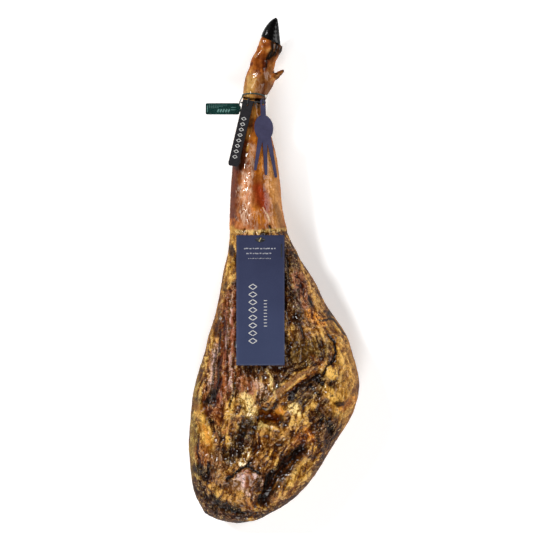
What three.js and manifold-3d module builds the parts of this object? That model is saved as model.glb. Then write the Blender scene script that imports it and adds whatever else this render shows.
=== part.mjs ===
// A whole cured ham with its hoof, lying on its rind side with the cut face up and the foot towards +Y.
// Two tags and a plastic seal are tied round its ankle, and a folded card label is pinned to its face.
// Millimetres, +Z up. The origin is on the floor, under the middle of the ham's bounding box.
import * as THREE from "three";
import { mergeVertices } from "three/addons/utils/BufferGeometryUtils.js";
import Module from "manifold-3d";

const wasm = await Module();
wasm.setup();

const GAP = 0.3; // left between pieces that touch
const RINGS = 78; // sections along the ham
const AROUND = 48; // points round each section
const BUTT = -415.3; // y of the rump end

// The ham's outline seen from above (left, right) and from the side (top, bottom), by y, from rump to foot.
const STATIONS = [
  { y: BUTT, left: -60, right: -58, top: 49, bottom: 47 },
  { y: -410, left: -90, right: -29, top: 72, bottom: 26 },
  { y: -400, left: -112.5, right: -6.5, top: 86, bottom: 15 },
  { y: -387, left: -121, right: 15.5, top: 95, bottom: 8 },
  { y: -370, left: -131, right: 38, top: 102, bottom: 3 },
  { y: -344, left: -136.5, right: 62.5, top: 108, bottom: -1.5 },
  { y: -305, left: -139.7, right: 87, top: 114, bottom: -4 },
  { y: -265, left: -139.7, right: 112.5, top: 118, bottom: -5 },
  { y: -226, left: -136.5, right: 133, top: 120.5, bottom: -5 },
  { y: -193, left: -131.5, right: 140.5, top: 121, bottom: -4.5 },
  { y: -160, left: -123, right: 136.5, top: 120, bottom: -3.5 },
  { y: -134, left: -115, right: 127.5, top: 118.5, bottom: -2.5 },
  { y: -107, left: -107, right: 118.5, top: 116.5, bottom: -1 },
  { y: -81, left: -98.5, right: 102.5, top: 114, bottom: 2.5 },
  { y: -55, left: -93.5, right: 85.5, top: 111.5, bottom: 6 },
  { y: -15, left: -85.5, right: 65.5, top: 107.5, bottom: 12 },
  { y: 24, left: -77, right: 40.5, top: 103, bottom: 18 },
  { y: 63, left: -72.5, right: 21.5, top: 98, bottom: 23 },
  { y: 103, left: -71, right: 12, top: 93, bottom: 26 },
  { y: 142, left: -69, right: 8.5, top: 87.5, bottom: 28 },
  { y: 182, left: -65.5, right: 3.5, top: 82, bottom: 29 },
  { y: 221, left: -58, right: -5.5, top: 77, bottom: 29 },
  { y: 251, left: -53.5, right: -12.5, top: 73.5, bottom: 28.5 },
  { y: 279, left: -52, right: -16, top: 71, bottom: 28 },
  { y: 292, left: -51, right: -8.5, top: 70.5, bottom: 27 },
  { y: 305, left: -50, right: -1.5, top: 70, bottom: 26 },
  { y: 318, left: -47, right: 2.5, top: 69.5, bottom: 25 },
  { y: 332, left: -42, right: -1, top: 67, bottom: 26 },
  { y: 344, left: -34, right: -5, top: 61, bottom: 32 },
  { y: 349, left: -21, right: -19, top: 47, bottom: 46 },
];
const LEG_FROM = 60; // y where the smooth shank begins, above the edge of the trimmed skin
const BODY_TO = -60; // y below which the section is the full ham's
const SKIN_STEP = 1.6; // how far the shank's skin stands above the trimmed fat

// What shapes the cut face: ridges (rise above 0) and hollows (below 0), each along a route of x, y.
const FACE_RELIEF = [
  { form: "sinew across the hip", rise: 7, width: 8, route: [[64, -157], [40, -177], [12, -195]] },
  { form: "hollow under the sinew", rise: -13, width: 15, route: [[80, -178], [56, -200]] },
  { form: "dip beside the hip bone", rise: -7, width: 20, route: [[38, -140], [62, -118]] },
  { form: "rim of the hip bone", rise: 5, width: 7, route: [[72, -98], [97, -104], [105, -128], [100, -150]] },
  { form: "split along the hip bone", rise: -5, width: 5, route: [[99, -120], [94, -146], [79, -160]] },
  { form: "fat beside the split", rise: 6, width: 10, route: [[88, -166], [96, -182]] },
  { form: "bone socket", rise: -13, width: 12, route: [[-18, -236], [6, -234]] },
  { form: "fat over the socket", rise: 5, width: 12, route: [[-40, -212], [-16, -206], [24, -212]] },
  { form: "gristle beside the socket", rise: 4, width: 9, route: [[-36, -236], [-24, -258]] },
  { form: "furrow of the rump", rise: -9, width: 12, route: [[50, -284], [24, -314], [0, -344], [-22, -384]] },
  { form: "flap along the furrow", rise: 4, width: 12, route: [[74, -300], [44, -336], [16, -366]] },
  { form: "furrow of the thigh", rise: -6, width: 11, route: [[-46, -252], [-62, -280], [-76, -304]] },
  { form: "first thigh muscle", rise: 4, width: 7, route: [[-72, -70], [-80, -140], [-92, -220]] },
  { form: "furrow beside it", rise: -5, width: 6, route: [[-85, -60], [-95, -130], [-106, -210], [-104, -260]] },
  { form: "rind fat", rise: 5, width: 9, route: [[-98, -90], [-112, -180], [-120, -260], [-116, -320]] },
  { form: "torn end of the rump muscle", rise: 6, width: 13, route: [[-62, -338], [-40, -330], [-26, -346]] },
  { form: "dent below it", rise: -5, width: 10, route: [[-78, -392], [-54, -398]] },
  { form: "swell of the haunch", rise: 5, width: 26, route: [[112, -170], [100, -236], [72, -280]] },
];
const LUMPS = { rise: 1.5, size: 34 }; // low unevenness all over the ham below the shank

// The foot: two toes one above the other as the ham lies, each with its claw.
const TOE_HEIGHTS = { lower: 34, upper: 57.5 };
const TOE = [
  { y: 300, left: -37, right: -14, half: 5 },
  { y: 320, left: -42.5, right: -4, half: 9 },
  { y: 334, left: -41, right: 0.5, half: 11 },
  { y: 346, left: -38.5, right: 3.5, half: 11.4 },
  { y: 357, left: -34, right: 8.5, half: 11.4 },
  { y: 367, left: -29.5, right: 13, half: 11 },
  { y: 376, left: -25, right: 11.5, half: 10.4 },
  { y: 388, left: -19, right: 9, half: 9 },
];
const CLAW = [
  { y: 362, left: -30.5, right: 11, half: 11.5 },
  { y: 376, left: -25, right: 10.2, half: 11.2 },
  { y: 388, left: -20.2, right: 9, half: 10.2 },
  { y: 397, left: -16, right: 8, half: 8.6 },
  { y: 405, left: -10.5, right: 7, half: 6.4 },
  { y: 411.5, left: -4, right: 6, half: 3.8 },
  { y: 415.3, left: 2.2, right: 4, half: 0.8 },
];
const CLAW_LINE = { x: -20, y: 384.5, slope: -0.48 }; // where horn meets skin, seen from above
const DEWCLAW = { root: [-7, 316], tip: [16.8, 330], roundness: 6.4, drop: 11.5 };

const SEAL_STRAP = { y: 285.2, tip: 4.5, slant: 2, thickness: 1.1, width: 2.4, joint: 148, tail: 1 };
const SEAL_PLATE = { right: -57, left: -112.4, y: 265.4, width: 18.8, thickness: 2, corner: 3.2, neck: 10, z: 60 };
const CLASP = { length: 6, width: 4.4, thickness: 2.4, corner: 0.8, angle: 32 };
const CORD = { y: 276.2, radius: 1.1, loop: 0.8 };
const LEATHER_TAG = { length: 112, width: 18.6, thickness: 2, top: [-41.9, 279], yaw: -13.1, roll: -22 };
const TAIL_TAG = { length: 129, strap: 9, body: [16.5, 21.5], bodyAt: -47, thickness: 1.6, top: [-18.5, 280] };
const TAILS = [
  { lean: -12, length: 62, from: -5 },
  { lean: 0, length: 68, from: 1 },
  { lean: 9, length: 73, from: 7 },
];
const TAIL_WIDTHS = { root: 9, tip: 4.6, start: -57 };
const SLOT = { fromTop: 7, length: 5.6, width: 4 }; // the hole that each tag hangs from
const LABEL = { left: -61.6, right: 16.8, top: 58.3, bottom: -153.7, leaf: 0.8, open: 1.4 };
const EYELET = { fromTop: 7.4, length: 17, width: 7.6, thickness: 0.8 };

const radians = THREE.MathUtils.degToRad;
const blend = (value, low, high) => THREE.MathUtils.smoothstep(value, low, high);

// A value of the rows at a running length, on a smooth curve through them.
function along(rows, knots, key, length) {
  let i = 0;
  while (i < rows.length - 2 && knots[i + 1] < length) i++;
  const slope = (k) => {
    const before = Math.max(k - 1, 0);
    const after = Math.min(k + 1, rows.length - 1);
    return (rows[after][key] - rows[before][key]) / (knots[after] - knots[before]);
  };
  const span = knots[i + 1] - knots[i];
  const t = THREE.MathUtils.clamp((length - knots[i]) / span, 0, 1);
  const [t2, t3] = [t * t, t * t * t];
  return (
    (2 * t3 - 3 * t2 + 1) * rows[i][key] +
    (t3 - 2 * t2 + t) * span * slope(i) +
    (3 * t2 - 2 * t3) * rows[i + 1][key] +
    (t3 - t2) * span * slope(i + 1)
  );
}

// The running length at each row, measured along the outline so that blunt ends come out round.
function runningLengths(rows) {
  const lengths = [0];
  for (let i = 1; i < rows.length; i++) {
    const [a, b] = [rows[i - 1], rows[i]];
    const across = Math.hypot(b.left - a.left, b.right - a.right) / Math.SQRT2;
    lengths.push(lengths[i - 1] + Math.hypot(b.y - a.y, across));
  }
  return lengths;
}

// Smooth unevenness between -1 and 1 with bumps of about the given size.
function unevenness(x, y, z, size) {
  const [a, b, c] = [x / size, y / size, z / size];
  return (
    0.4 * Math.sin(2.1 * a + 1.3 * Math.sin(1.7 * b)) +
    0.35 * Math.sin(1.9 * b + 1.1 * Math.sin(2.3 * c + a) + 0.7) +
    0.25 * Math.sin(2.6 * c + 1.4 * Math.sin(2.9 * a - b) + 2.1)
  );
}

function distanceToRoute(x, y, route) {
  const point = new THREE.Vector3(x, y, 0);
  const nearest = new THREE.Vector3();
  let least = Infinity;
  for (let i = 1; i < route.length; i++) {
    const start = new THREE.Vector3(...route[i - 1], 0);
    const end = new THREE.Vector3(...route[i], 0);
    new THREE.Line3(start, end).closestPointToPoint(point, true, nearest);
    least = Math.min(least, nearest.distanceTo(point));
  }
  return least;
}

function faceRelief(x, y) {
  let total = 0;
  for (const { rise, width, route } of FACE_RELIEF) {
    total += rise * Math.exp(-((distanceToRoute(x, y, route) / width) ** 2));
  }
  return total;
}

const power = (value, exponent) => Math.sign(value) * Math.abs(value) ** exponent;
const hamKnots = runningLengths(STATIONS);
const hamLength = hamKnots[hamKnots.length - 1];

// The y at which the trimmed skin of the shank ends: straight on the face, in a point down the rind side.
const skinEdge = (sine) => LEG_FROM + 6 - 90 * Math.max(0, -sine) ** 1.5;

// A point of the ham's surface, at a running length and an angle round the section (0 is +X, 90 is up).
function hamPoint(length, angle) {
  const at = (key) => along(STATIONS, hamKnots, key, length);
  const [y, left, right, top, bottom] = ["y", "left", "right", "top", "bottom"].map(at);
  const [cosine, sine] = [Math.cos(angle), Math.sin(angle)];
  const body = 1 - blend(y, BODY_TO, LEG_FROM);
  const waist = bottom + (top - bottom) * (0.5 - 0.08 * body);
  const middle = (left + right) / 2;
  const half = (right - left) / 2;
  const height = sine > 0 ? top - waist : waist - bottom;
  const squareness = 2 + (sine > 0 ? 0.15 : -0.15) * body;
  const lean = 0.16 * half * body * Math.max(0, sine) ** 2;
  const x = middle + half * power(cosine, 2 / squareness) + lean * (1 - cosine * cosine);
  const z = waist + height * power(sine, 2 / squareness);
  const out = new THREE.Vector2((x - middle) / (half * half), (z - waist) / (height * height)).normalize();
  const facing = blend(sine, 0.15, 0.6);
  const trimmed = 1 - blend(y, 20, LEG_FROM);
  let rise = facing * faceRelief(x, y) * blend(y, BUTT, BUTT + 40);
  rise += LUMPS.rise * trimmed * unevenness(x, y, z, LUMPS.size);
  rise += SKIN_STEP * blend(y, skinEdge(sine) - 5, skinEdge(sine) + 5) * (1 - blend(y, 200, 260));
  return new THREE.Vector3(x + out.x * rise, y, Math.max(0, z + out.y * rise));
}

// A closed skin over rings of points: all rings run the same way round, and both ends close on their middle.
function loft(rings) {
  const around = rings[0].length;
  const points = rings.flat();
  for (const end of [rings[0], rings[rings.length - 1]]) {
    const middle = end.reduce((sum, point) => sum.add(point), new THREE.Vector3()).divideScalar(around);
    points.push(middle);
  }
  const [first, last] = [points.length - 2, points.length - 1];
  const index = [];
  for (let j = 0; j < around; j++) {
    const next = (j + 1) % around;
    index.push(first, j, next);
    const top = (rings.length - 1) * around;
    index.push(last, top + next, top + j);
    for (let i = 0; i < rings.length - 1; i++) {
      const [a, b, c, d] = [i * around + j, i * around + next, (i + 1) * around + next, (i + 1) * around + j];
      index.push(a, d, c, a, c, b);
    }
  }
  return new THREE.BufferGeometry().setFromPoints(points).setIndex(index);
}

function toSolid(geometry) {
  const bare = new THREE.BufferGeometry().setAttribute("position", geometry.getAttribute("position"));
  const merged = mergeVertices(geometry.index ? bare.setIndex(geometry.index) : bare, 1e-4);
  return new wasm.Manifold(
    new wasm.Mesh({
      numProp: 3,
      vertProperties: new Float32Array(merged.attributes.position.array),
      triVerts: new Uint32Array(merged.index.array),
    }),
  );
}

function toGeometry(solid) {
  const mesh = solid.getMesh();
  return new THREE.BufferGeometry()
    .setAttribute("position", new THREE.BufferAttribute(mesh.vertProperties, 3))
    .setIndex(new THREE.BufferAttribute(mesh.triVerts, 1));
}

function joined(geometries) {
  return geometries.map(toSolid).reduce((sum, solid) => sum.add(solid));
}

function named(name, geometry, look) {
  geometry.computeVertexNormals();
  const mesh = new THREE.Mesh(geometry, new THREE.MeshStandardMaterial({ metalness: 0, ...look }));
  mesh.name = name;
  return mesh;
}

// A limb of the foot: an oval loft whose sections stay level, from rows of y, left, right and half thickness.
function limb(rows, height, steps, around) {
  const knots = runningLengths(rows);
  const rings = [];
  for (let i = 0; i <= steps; i++) {
    const at = (key) => along(rows, knots, key, (knots[knots.length - 1] * i) / steps);
    const [y, left, right, half] = ["y", "left", "right", "half"].map(at);
    const ring = [];
    for (let j = 0; j < around; j++) {
      const angle = (2 * Math.PI * j) / around;
      const x = (left + right) / 2 + ((right - left) / 2) * power(Math.cos(angle), 0.9);
      ring.push(new THREE.Vector3(x, y, height + half * power(Math.sin(angle), 0.9)));
    }
    rings.push(ring);
  }
  return loft(rings);
}

// A dewclaw: a tapering, slightly hooked cone that leaves the back of the foot.
function dewclaw(height, side) {
  const root = new THREE.Vector3(...DEWCLAW.root, height);
  const tip = new THREE.Vector3(...DEWCLAW.tip, height + side * 2);
  const axis = tip.clone().sub(root).normalize();
  const across = new THREE.Vector3(0, 0, 1).cross(axis).normalize();
  const rings = [];
  for (let i = 0; i <= 8; i++) {
    const t = i / 8;
    const radius = DEWCLAW.roundness * Math.sqrt(1 - t * 0.985) * (1 - 0.25 * t);
    const centre = root.clone().lerp(tip, t).addScaledVector(across, -1.6 * Math.sin(Math.PI * t));
    const ring = [];
    for (let j = 0; j < 12; j++) {
      const angle = (2 * Math.PI * j) / 12;
      const point = centre.clone().addScaledVector(across, -radius * Math.cos(angle));
      point.z += radius * 0.85 * Math.sin(angle);
      ring.push(point);
    }
    rings.push(ring);
  }
  return loft(rings);
}

function makeHam() {
  const rings = [];
  for (let i = 0; i < RINGS; i++) {
    const length = (hamLength * (i + 0.2)) / (RINGS - 0.6);
    const ring = [];
    for (let j = 0; j < AROUND; j++) ring.push(hamPoint(length, (2 * Math.PI * j) / AROUND));
    rings.push(ring);
  }
  const parts = [loft(rings)];
  for (const height of Object.values(TOE_HEIGHTS)) parts.push(limb(TOE, height, 10, 18));
  const middle = (TOE_HEIGHTS.lower + TOE_HEIGHTS.upper) / 2;
  for (const side of [-1, 1]) parts.push(dewclaw(middle + side * DEWCLAW.drop, side));
  const normal = new THREE.Vector2(-CLAW_LINE.slope, 1).normalize();
  const offset = normal.x * CLAW_LINE.x + normal.y * CLAW_LINE.y - GAP;
  const whole = joined(parts).trimByPlane([-normal.x, -normal.y, 0], -offset);
  return named("ham", toGeometry(whole), { color: 0xa8682a, roughness: 0.45 });
}

function makeClaw(name, height) {
  const normal = new THREE.Vector2(-CLAW_LINE.slope, 1).normalize();
  const offset = normal.x * CLAW_LINE.x + normal.y * CLAW_LINE.y;
  const horn = toSolid(limb(CLAW, height, 11, 18)).trimByPlane([normal.x, normal.y, 0], offset);
  return named(name, toGeometry(horn), { color: 0x0e0c0b, roughness: 0.35 });
}

// The running length of the ham at a y, found by halving.
function lengthAt(y) {
  let [low, high] = [0, hamLength];
  for (let i = 0; i < 30; i++) {
    const middle = (low + high) / 2;
    if (along(STATIONS, hamKnots, "y", middle) < y) low = middle;
    else high = middle;
  }
  return low;
}

// A point just off the ham's skin at a y and an angle, and the way out from the skin there.
function offSkin(y, angle, distance) {
  const length = lengthAt(y);
  const point = hamPoint(length, angle);
  const turn = hamPoint(length, angle + 0.02).sub(hamPoint(length, angle - 0.02));
  const out = new THREE.Vector3(turn.z, 0, -turn.x).normalize();
  return { point: point.addScaledVector(out, distance), out };
}

// A closed band round the ankle: yOf gives its y at each angle, and the section is a round or flat oval.
function band(yOf, thickness, width, steps, sides) {
  const rings = [];
  for (let i = 0; i < steps; i++) {
    const angle = (2 * Math.PI * i) / steps;
    const { point, out } = offSkin(yOf(angle), angle, GAP * 3 + thickness / 2);
    const ring = [];
    for (let j = 0; j < sides; j++) {
      const turn = (2 * Math.PI * j) / sides;
      const corner = point.clone().addScaledVector(out, (thickness / 2) * Math.cos(turn));
      corner.y += (width / 2) * Math.sin(turn);
      ring.push(corner);
    }
    rings.push(ring);
  }
  return closedTube(rings);
}

// A tube whose last ring joins its first.
function closedTube(rings) {
  const sides = rings[0].length;
  const index = [];
  for (let i = 0; i < rings.length; i++) {
    for (let j = 0; j < sides; j++) {
      const [ring, next] = [i * sides, ((i + 1) % rings.length) * sides];
      const k = (j + 1) % sides;
      index.push(ring + j, ring + k, next + k, ring + j, next + k, next + j);
    }
  }
  return new THREE.BufferGeometry().setFromPoints(rings.flat()).setIndex(index);
}

// Lays a flat tag on what lies below it: lowers or lifts it until the nearest point is one gap away.
function rest(tag, samples, below) {
  tag.updateMatrixWorld(true);
  const down = new THREE.Vector3(0, 0, -1);
  let least = Infinity;
  for (const sample of samples) {
    const point = sample.clone().applyMatrix4(tag.matrixWorld);
    const ray = new THREE.Raycaster(new THREE.Vector3(point.x, point.y, 400), down);
    for (const hit of ray.intersectObjects(below)) least = Math.min(least, point.z - hit.point.z);
  }
  tag.position.z += GAP * 1.6 - least;
  tag.updateMatrixWorld(true);
}

// Points a millimetre apart over the underside of a tag, from y to y.
function underside(width, from, to, z) {
  const [rows, columns] = [Math.ceil(to - from), Math.ceil(width / 2)];
  const points = [];
  for (let i = 0; i <= rows; i++) {
    for (let j = 0; j <= columns; j++) {
      points.push(new THREE.Vector3(width * (j / columns - 0.5), from + ((to - from) * i) / rows, z));
    }
  }
  return points;
}

function plate(shape, thickness, curveSegments = 8) {
  const geometry = new THREE.ExtrudeGeometry(shape, { depth: thickness, bevelEnabled: false, curveSegments });
  return geometry.translate(0, 0, -thickness / 2);
}

// A round rod along a path.
function rod(path, radius, steps) {
  const round = new THREE.Shape().absarc(0, 0, radius, 0, 2 * Math.PI);
  const run = { extrudePath: path, steps, curveSegments: 4, bevelEnabled: false };
  return new THREE.ExtrudeGeometry(round, run);
}

function roundedShape(left, right, bottom, top, corner, topCorner = corner) {
  const shape = new THREE.Shape();
  shape.moveTo(left + corner, bottom);
  shape.lineTo(right - corner, bottom);
  shape.quadraticCurveTo(right, bottom, right, bottom + corner);
  shape.lineTo(right, top - topCorner);
  shape.quadraticCurveTo(right, top, right - topCorner, top);
  shape.lineTo(left + topCorner, top);
  shape.quadraticCurveTo(left, top, left, top - topCorner);
  shape.lineTo(left, bottom + corner);
  shape.quadraticCurveTo(left, bottom, left + corner, bottom);
  return shape;
}

function slotHole() {
  const [width, length] = [SLOT.width / 2, SLOT.length / 2];
  return roundedShape(-width, width, -SLOT.fromTop - length, -SLOT.fromTop + length, 1);
}

function makeLeatherTag(below) {
  const { length, width, thickness, top, yaw, roll } = LEATHER_TAG;
  const shape = roundedShape(-width / 2, width / 2, -length, 0, 5, 1);
  shape.holes.push(slotHole());
  const tag = named("leather_tag", plate(shape, thickness), { color: 0x2b2a2e, roughness: 0.6 });
  tag.position.set(...top, 90);
  tag.rotation.set(radians(-6.5), radians(roll), radians(yaw), "ZXY");
  rest(tag, underside(width, -length, 0, -thickness / 2), below);
  return tag;
}

// The blue tag: a strap, a round body and three plain tails, cut from one sheet.
function makeTailTag(below) {
  const { strap, body, bodyAt, thickness, top } = TAIL_TAG;
  const strapShape = roundedShape(-strap / 2, strap / 2, bodyAt, 0, 0.5, 2.5);
  strapShape.holes.push(slotHole());
  const round = new THREE.Shape();
  round.absellipse(0, bodyAt, ...body, 0, 2 * Math.PI);
  const pieces = [plate(strapShape, thickness), plate(round, thickness, 16)];
  for (const tail of TAILS) {
    const [wide, narrow] = [TAIL_WIDTHS.root / 2, TAIL_WIDTHS.tip / 2];
    const shape = new THREE.Shape();
    shape.moveTo(wide, 0);
    shape.lineTo(-wide, 0);
    shape.lineTo(-narrow, narrow - tail.length);
    shape.absarc(0, narrow - tail.length, narrow, Math.PI, 2 * Math.PI);
    const piece = plate(shape, thickness).rotateZ(radians(tail.lean));
    pieces.push(piece.translate(tail.from, TAIL_WIDTHS.start, 0));
  }
  const tag = named("tail_tag", toGeometry(joined(pieces)), { color: 0x393b66, roughness: 0.55 });
  tag.position.set(...top, 90);
  tag.rotation.set(radians(-6.5), radians(20), radians(2), "ZXY");
  rest(tag, underside(2 * body[0], -TAIL_TAG.length, 0, -thickness / 2), below);
  return tag;
}

// A small closed loop of cord through a tag's slot and over its top edge, round the cord on the ankle.
function slotLoop(tag, thickness, cord) {
  const slot = new THREE.Vector3(0, -SLOT.fromTop, 0).applyMatrix4(tag.matrixWorld);
  const above = new THREE.Vector3(slot.x, CORD.y, 400);
  const [hit] = new THREE.Raycaster(above, new THREE.Vector3(0, 0, -1)).intersectObject(cord);
  const depth = CORD.radius * 0.35 - tag.worldToLocal(hit.point.clone()).z;
  const [middle, reach] = [1.1 - SLOT.fromTop / 2, SLOT.fromTop / 2 + 1.1];
  const over = thickness / 2 + CORD.loop + 0.9;
  const under = Math.max(depth, thickness / 2 + CORD.loop + 0.5);
  const rings = [];
  for (let i = 0; i < 20; i++) {
    const angle = (2 * Math.PI * i) / 20;
    const height = Math.sin(angle) > 0 ? over : under;
    const out = new THREE.Vector3(0, Math.cos(angle) / reach, Math.sin(angle) / height).normalize();
    const [y, z] = [power(Math.cos(angle), 0.75), power(Math.sin(angle), 0.75)];
    const centre = new THREE.Vector3(0, reach * y + middle, height * z);
    const ring = [];
    for (let j = 0; j < 6; j++) {
      const turn = (2 * Math.PI * j) / 6;
      const point = centre.clone().addScaledVector(out, CORD.loop * Math.cos(turn));
      point.x -= CORD.loop * Math.sin(turn);
      ring.push(point.applyMatrix4(tag.matrixWorld));
    }
    rings.push(ring);
  }
  return closedTube(rings);
}

const cordRing = () => band(() => CORD.y, CORD.radius * 2, CORD.radius * 2, 40, 8);

// The knot of the cord and its two short ends, which lie on the ankle between the tags.
function knot() {
  const { point, out } = offSkin(CORD.y - 1, radians(80), GAP + CORD.radius + 0.9);
  const pieces = [new THREE.SphereGeometry(2.1, 10, 8).translate(point.x, point.y, point.z)];
  for (const [side, reach] of [[-1, 7], [1, 9]]) {
    const end = point.clone().add(new THREE.Vector3(side * 2.4, -reach, 0.9)).addScaledVector(out, 0.4);
    const middle = point.clone().lerp(end, 0.5).addScaledVector(out, 1.2);
    const path = new THREE.CatmullRomCurve3([point, middle, end]);
    pieces.push(rod(path, CORD.loop, 5));
  }
  return pieces;
}

// Where the seal's tilted strap runs: its y at each angle round the ankle.
const strapY = (angle) => SEAL_STRAP.y + SEAL_STRAP.tip * Math.sin(angle) - SEAL_STRAP.slant * Math.cos(angle);

// The green seal: a strap round the ankle and its plate, joined by a round tail that passes over the cord.
function makeSeal() {
  const { right, left, y, width, thickness, corner, neck, z } = SEAL_PLATE;
  const strap = band(strapY, SEAL_STRAP.thickness, SEAL_STRAP.width, 40, 8);
  const face = plate(roundedShape(left, right, -width / 2, width / 2, corner), thickness);
  const arm = plate(roundedShape(right - 8, right + 2.4, -neck / 2, neck / 2, 0.5, 2), thickness);
  for (const piece of [face, arm]) piece.translate(0, y, z);
  const joint = radians(SEAL_STRAP.joint);
  const end = offSkin(strapY(joint), joint, GAP * 3 + SEAL_STRAP.tail).point;
  const over = new THREE.Vector3(right + 0.6, CORD.y, z + 1.5);
  const path = new THREE.CatmullRomCurve3([new THREE.Vector3(right - 0.6, y + 1, z), over, end]);
  const tail = rod(path, SEAL_STRAP.tail, 8);
  return named("seal", toGeometry(joined([strap, face, arm, tail])), { color: 0x0c6b58, roughness: 0.3 });
}

// The white clasp, which sits flat on the strap at the right of the ankle.
function makeClasp() {
  const { length, width, thickness, corner, angle } = CLASP;
  const shape = roundedShape(-length / 2, length / 2, -width / 2, width / 2, corner);
  const clasp = named("seal_clasp", plate(shape, thickness, 3), { color: 0xe9e6e0, roughness: 0.4 });
  const turn = radians(angle);
  const { point, out } = offSkin(strapY(turn), turn, GAP * 4 + SEAL_STRAP.thickness + thickness / 2);
  clasp.position.copy(point);
  clasp.rotation.y = Math.atan2(out.x, out.z);
  return clasp;
}

// The label's rounded fold and two leaves, seen along its length.
function foldedCard(width) {
  const { leaf, open } = LABEL;
  const outer = leaf + open / 2;
  const shape = new THREE.Shape();
  shape.moveTo(width, -outer);
  shape.lineTo(width, -open / 2);
  shape.lineTo(outer, -open / 2);
  shape.absarc(outer, 0, open / 2, -Math.PI / 2, Math.PI / 2, true);
  shape.lineTo(width, open / 2);
  shape.lineTo(width, outer);
  shape.lineTo(outer, outer);
  shape.absarc(outer, 0, outer, Math.PI / 2, -Math.PI / 2, false);
  return shape;
}

function eyeletShape(length, width) {
  const [half, tall] = [length / 2, width / 2];
  const shape = new THREE.Shape();
  shape.moveTo(-half, 0);
  shape.quadraticCurveTo(-half * 0.45, -tall * 1.25, 0, -tall);
  shape.quadraticCurveTo(half * 0.45, -tall * 1.25, half, 0);
  shape.quadraticCurveTo(half * 0.45, tall * 1.25, 0, tall);
  shape.quadraticCurveTo(-half * 0.45, tall * 1.25, -half, 0);
  return shape;
}

// The label with the eyelet in its front leaf and the pin in the eyelet, as one group that lies on the ham.
function makeLabel(below) {
  const { left, right, top, bottom, leaf, open } = LABEL;
  const [width, length] = [right - left, top - bottom];
  const card = plate(foldedCard(width), length, 4);
  card.rotateX(Math.PI / 2).translate(-width / 2, 0, 0);
  const eyeletY = length / 2 - EYELET.fromTop;
  const hole = plate(eyeletShape(EYELET.length + 2 * GAP, EYELET.width + 2 * GAP), 2 * leaf);
  hole.translate(0, eyeletY, open / 2 + leaf / 2);
  const front = toSolid(card).subtract(toSolid(hole));
  const label = named("label", toGeometry(front), { color: 0x2c3050, roughness: 0.5 });
  const eyelet = named("label_eyelet", plate(eyeletShape(EYELET.length, EYELET.width), EYELET.thickness), {
    color: 0x0a0a0c,
    roughness: 0.4,
  });
  eyelet.position.set(0, eyeletY, open / 2 + leaf - EYELET.thickness / 2);
  const pin = named("label_pin", new THREE.CapsuleGeometry(0.8, 6, 4, 10), {
    color: 0xb9a06a,
    roughness: 0.35,
    metalness: 0.9,
  });
  pin.position.set(-0.4, eyeletY, open / 2 + leaf + GAP + 0.8);
  pin.rotation.z = radians(-28);
  const group = new THREE.Group().add(label, eyelet, pin);
  group.position.set((left + right) / 2, (top + bottom) / 2, 130);
  group.rotation.x = radians(-6.4);
  rest(group, underside(width, -length / 2, length / 2, -open / 2 - leaf), below);
  return group;
}

const ham = makeHam();
const cord = named("cord", cordRing(), { color: 0x101012, roughness: 0.7 });
const seal = makeSeal();
const leatherTag = makeLeatherTag([ham, cord]);
const tailTag = makeTailTag([ham, cord]);
const loops = [slotLoop(leatherTag, LEATHER_TAG.thickness, cord), slotLoop(tailTag, TAIL_TAG.thickness, cord)];
cord.geometry = toGeometry(joined([cordRing(), ...loops, ...knot()]));
cord.geometry.computeVertexNormals();

const part = new THREE.Group();
part.add(ham, cord, seal, leatherTag, tailTag, makeClasp(), makeLabel([ham]));
for (const [side, height] of Object.entries(TOE_HEIGHTS)) part.add(makeClaw(`claw_${side}`, height));

// The origin goes to the middle of the bounding box, at the height of the floor.
const box = new THREE.Box3().setFromObject(part, true);
const centre = box.getCenter(new THREE.Vector3());
part.position.set(-centre.x, -centre.y, 0);

export default part;
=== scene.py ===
"""A whole cured ham lying on its rind, with its tags, seal and card label, seen from straight above."""
import math

import bmesh
import bpy
import numpy as np
from mathutils import Matrix, Vector, noise
from mathutils.bvhtree import BVHTree


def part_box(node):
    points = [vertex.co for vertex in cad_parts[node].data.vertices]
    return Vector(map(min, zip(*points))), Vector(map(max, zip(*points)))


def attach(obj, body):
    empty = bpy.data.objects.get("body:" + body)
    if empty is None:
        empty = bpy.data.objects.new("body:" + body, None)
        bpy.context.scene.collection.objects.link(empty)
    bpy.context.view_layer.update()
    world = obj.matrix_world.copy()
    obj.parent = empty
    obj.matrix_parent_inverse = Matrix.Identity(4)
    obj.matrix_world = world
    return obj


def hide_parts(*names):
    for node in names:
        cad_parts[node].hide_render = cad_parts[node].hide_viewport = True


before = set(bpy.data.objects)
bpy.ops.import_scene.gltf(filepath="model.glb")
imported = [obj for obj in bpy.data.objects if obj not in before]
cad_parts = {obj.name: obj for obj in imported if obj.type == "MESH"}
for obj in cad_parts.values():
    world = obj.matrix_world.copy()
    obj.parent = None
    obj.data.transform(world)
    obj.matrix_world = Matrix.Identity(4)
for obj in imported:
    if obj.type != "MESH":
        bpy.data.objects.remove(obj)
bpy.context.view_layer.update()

noise.seed_set(2)

MM = 0.001
PIXEL = 1.6436  # millimetres of the object to a pixel of the photograph
PHOTO_ORIGIN = (274.0, 270.5)  # the pixel that shows the frame's origin
PHOTO_SIZE = 533  # pixels along each side of the photograph

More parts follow.
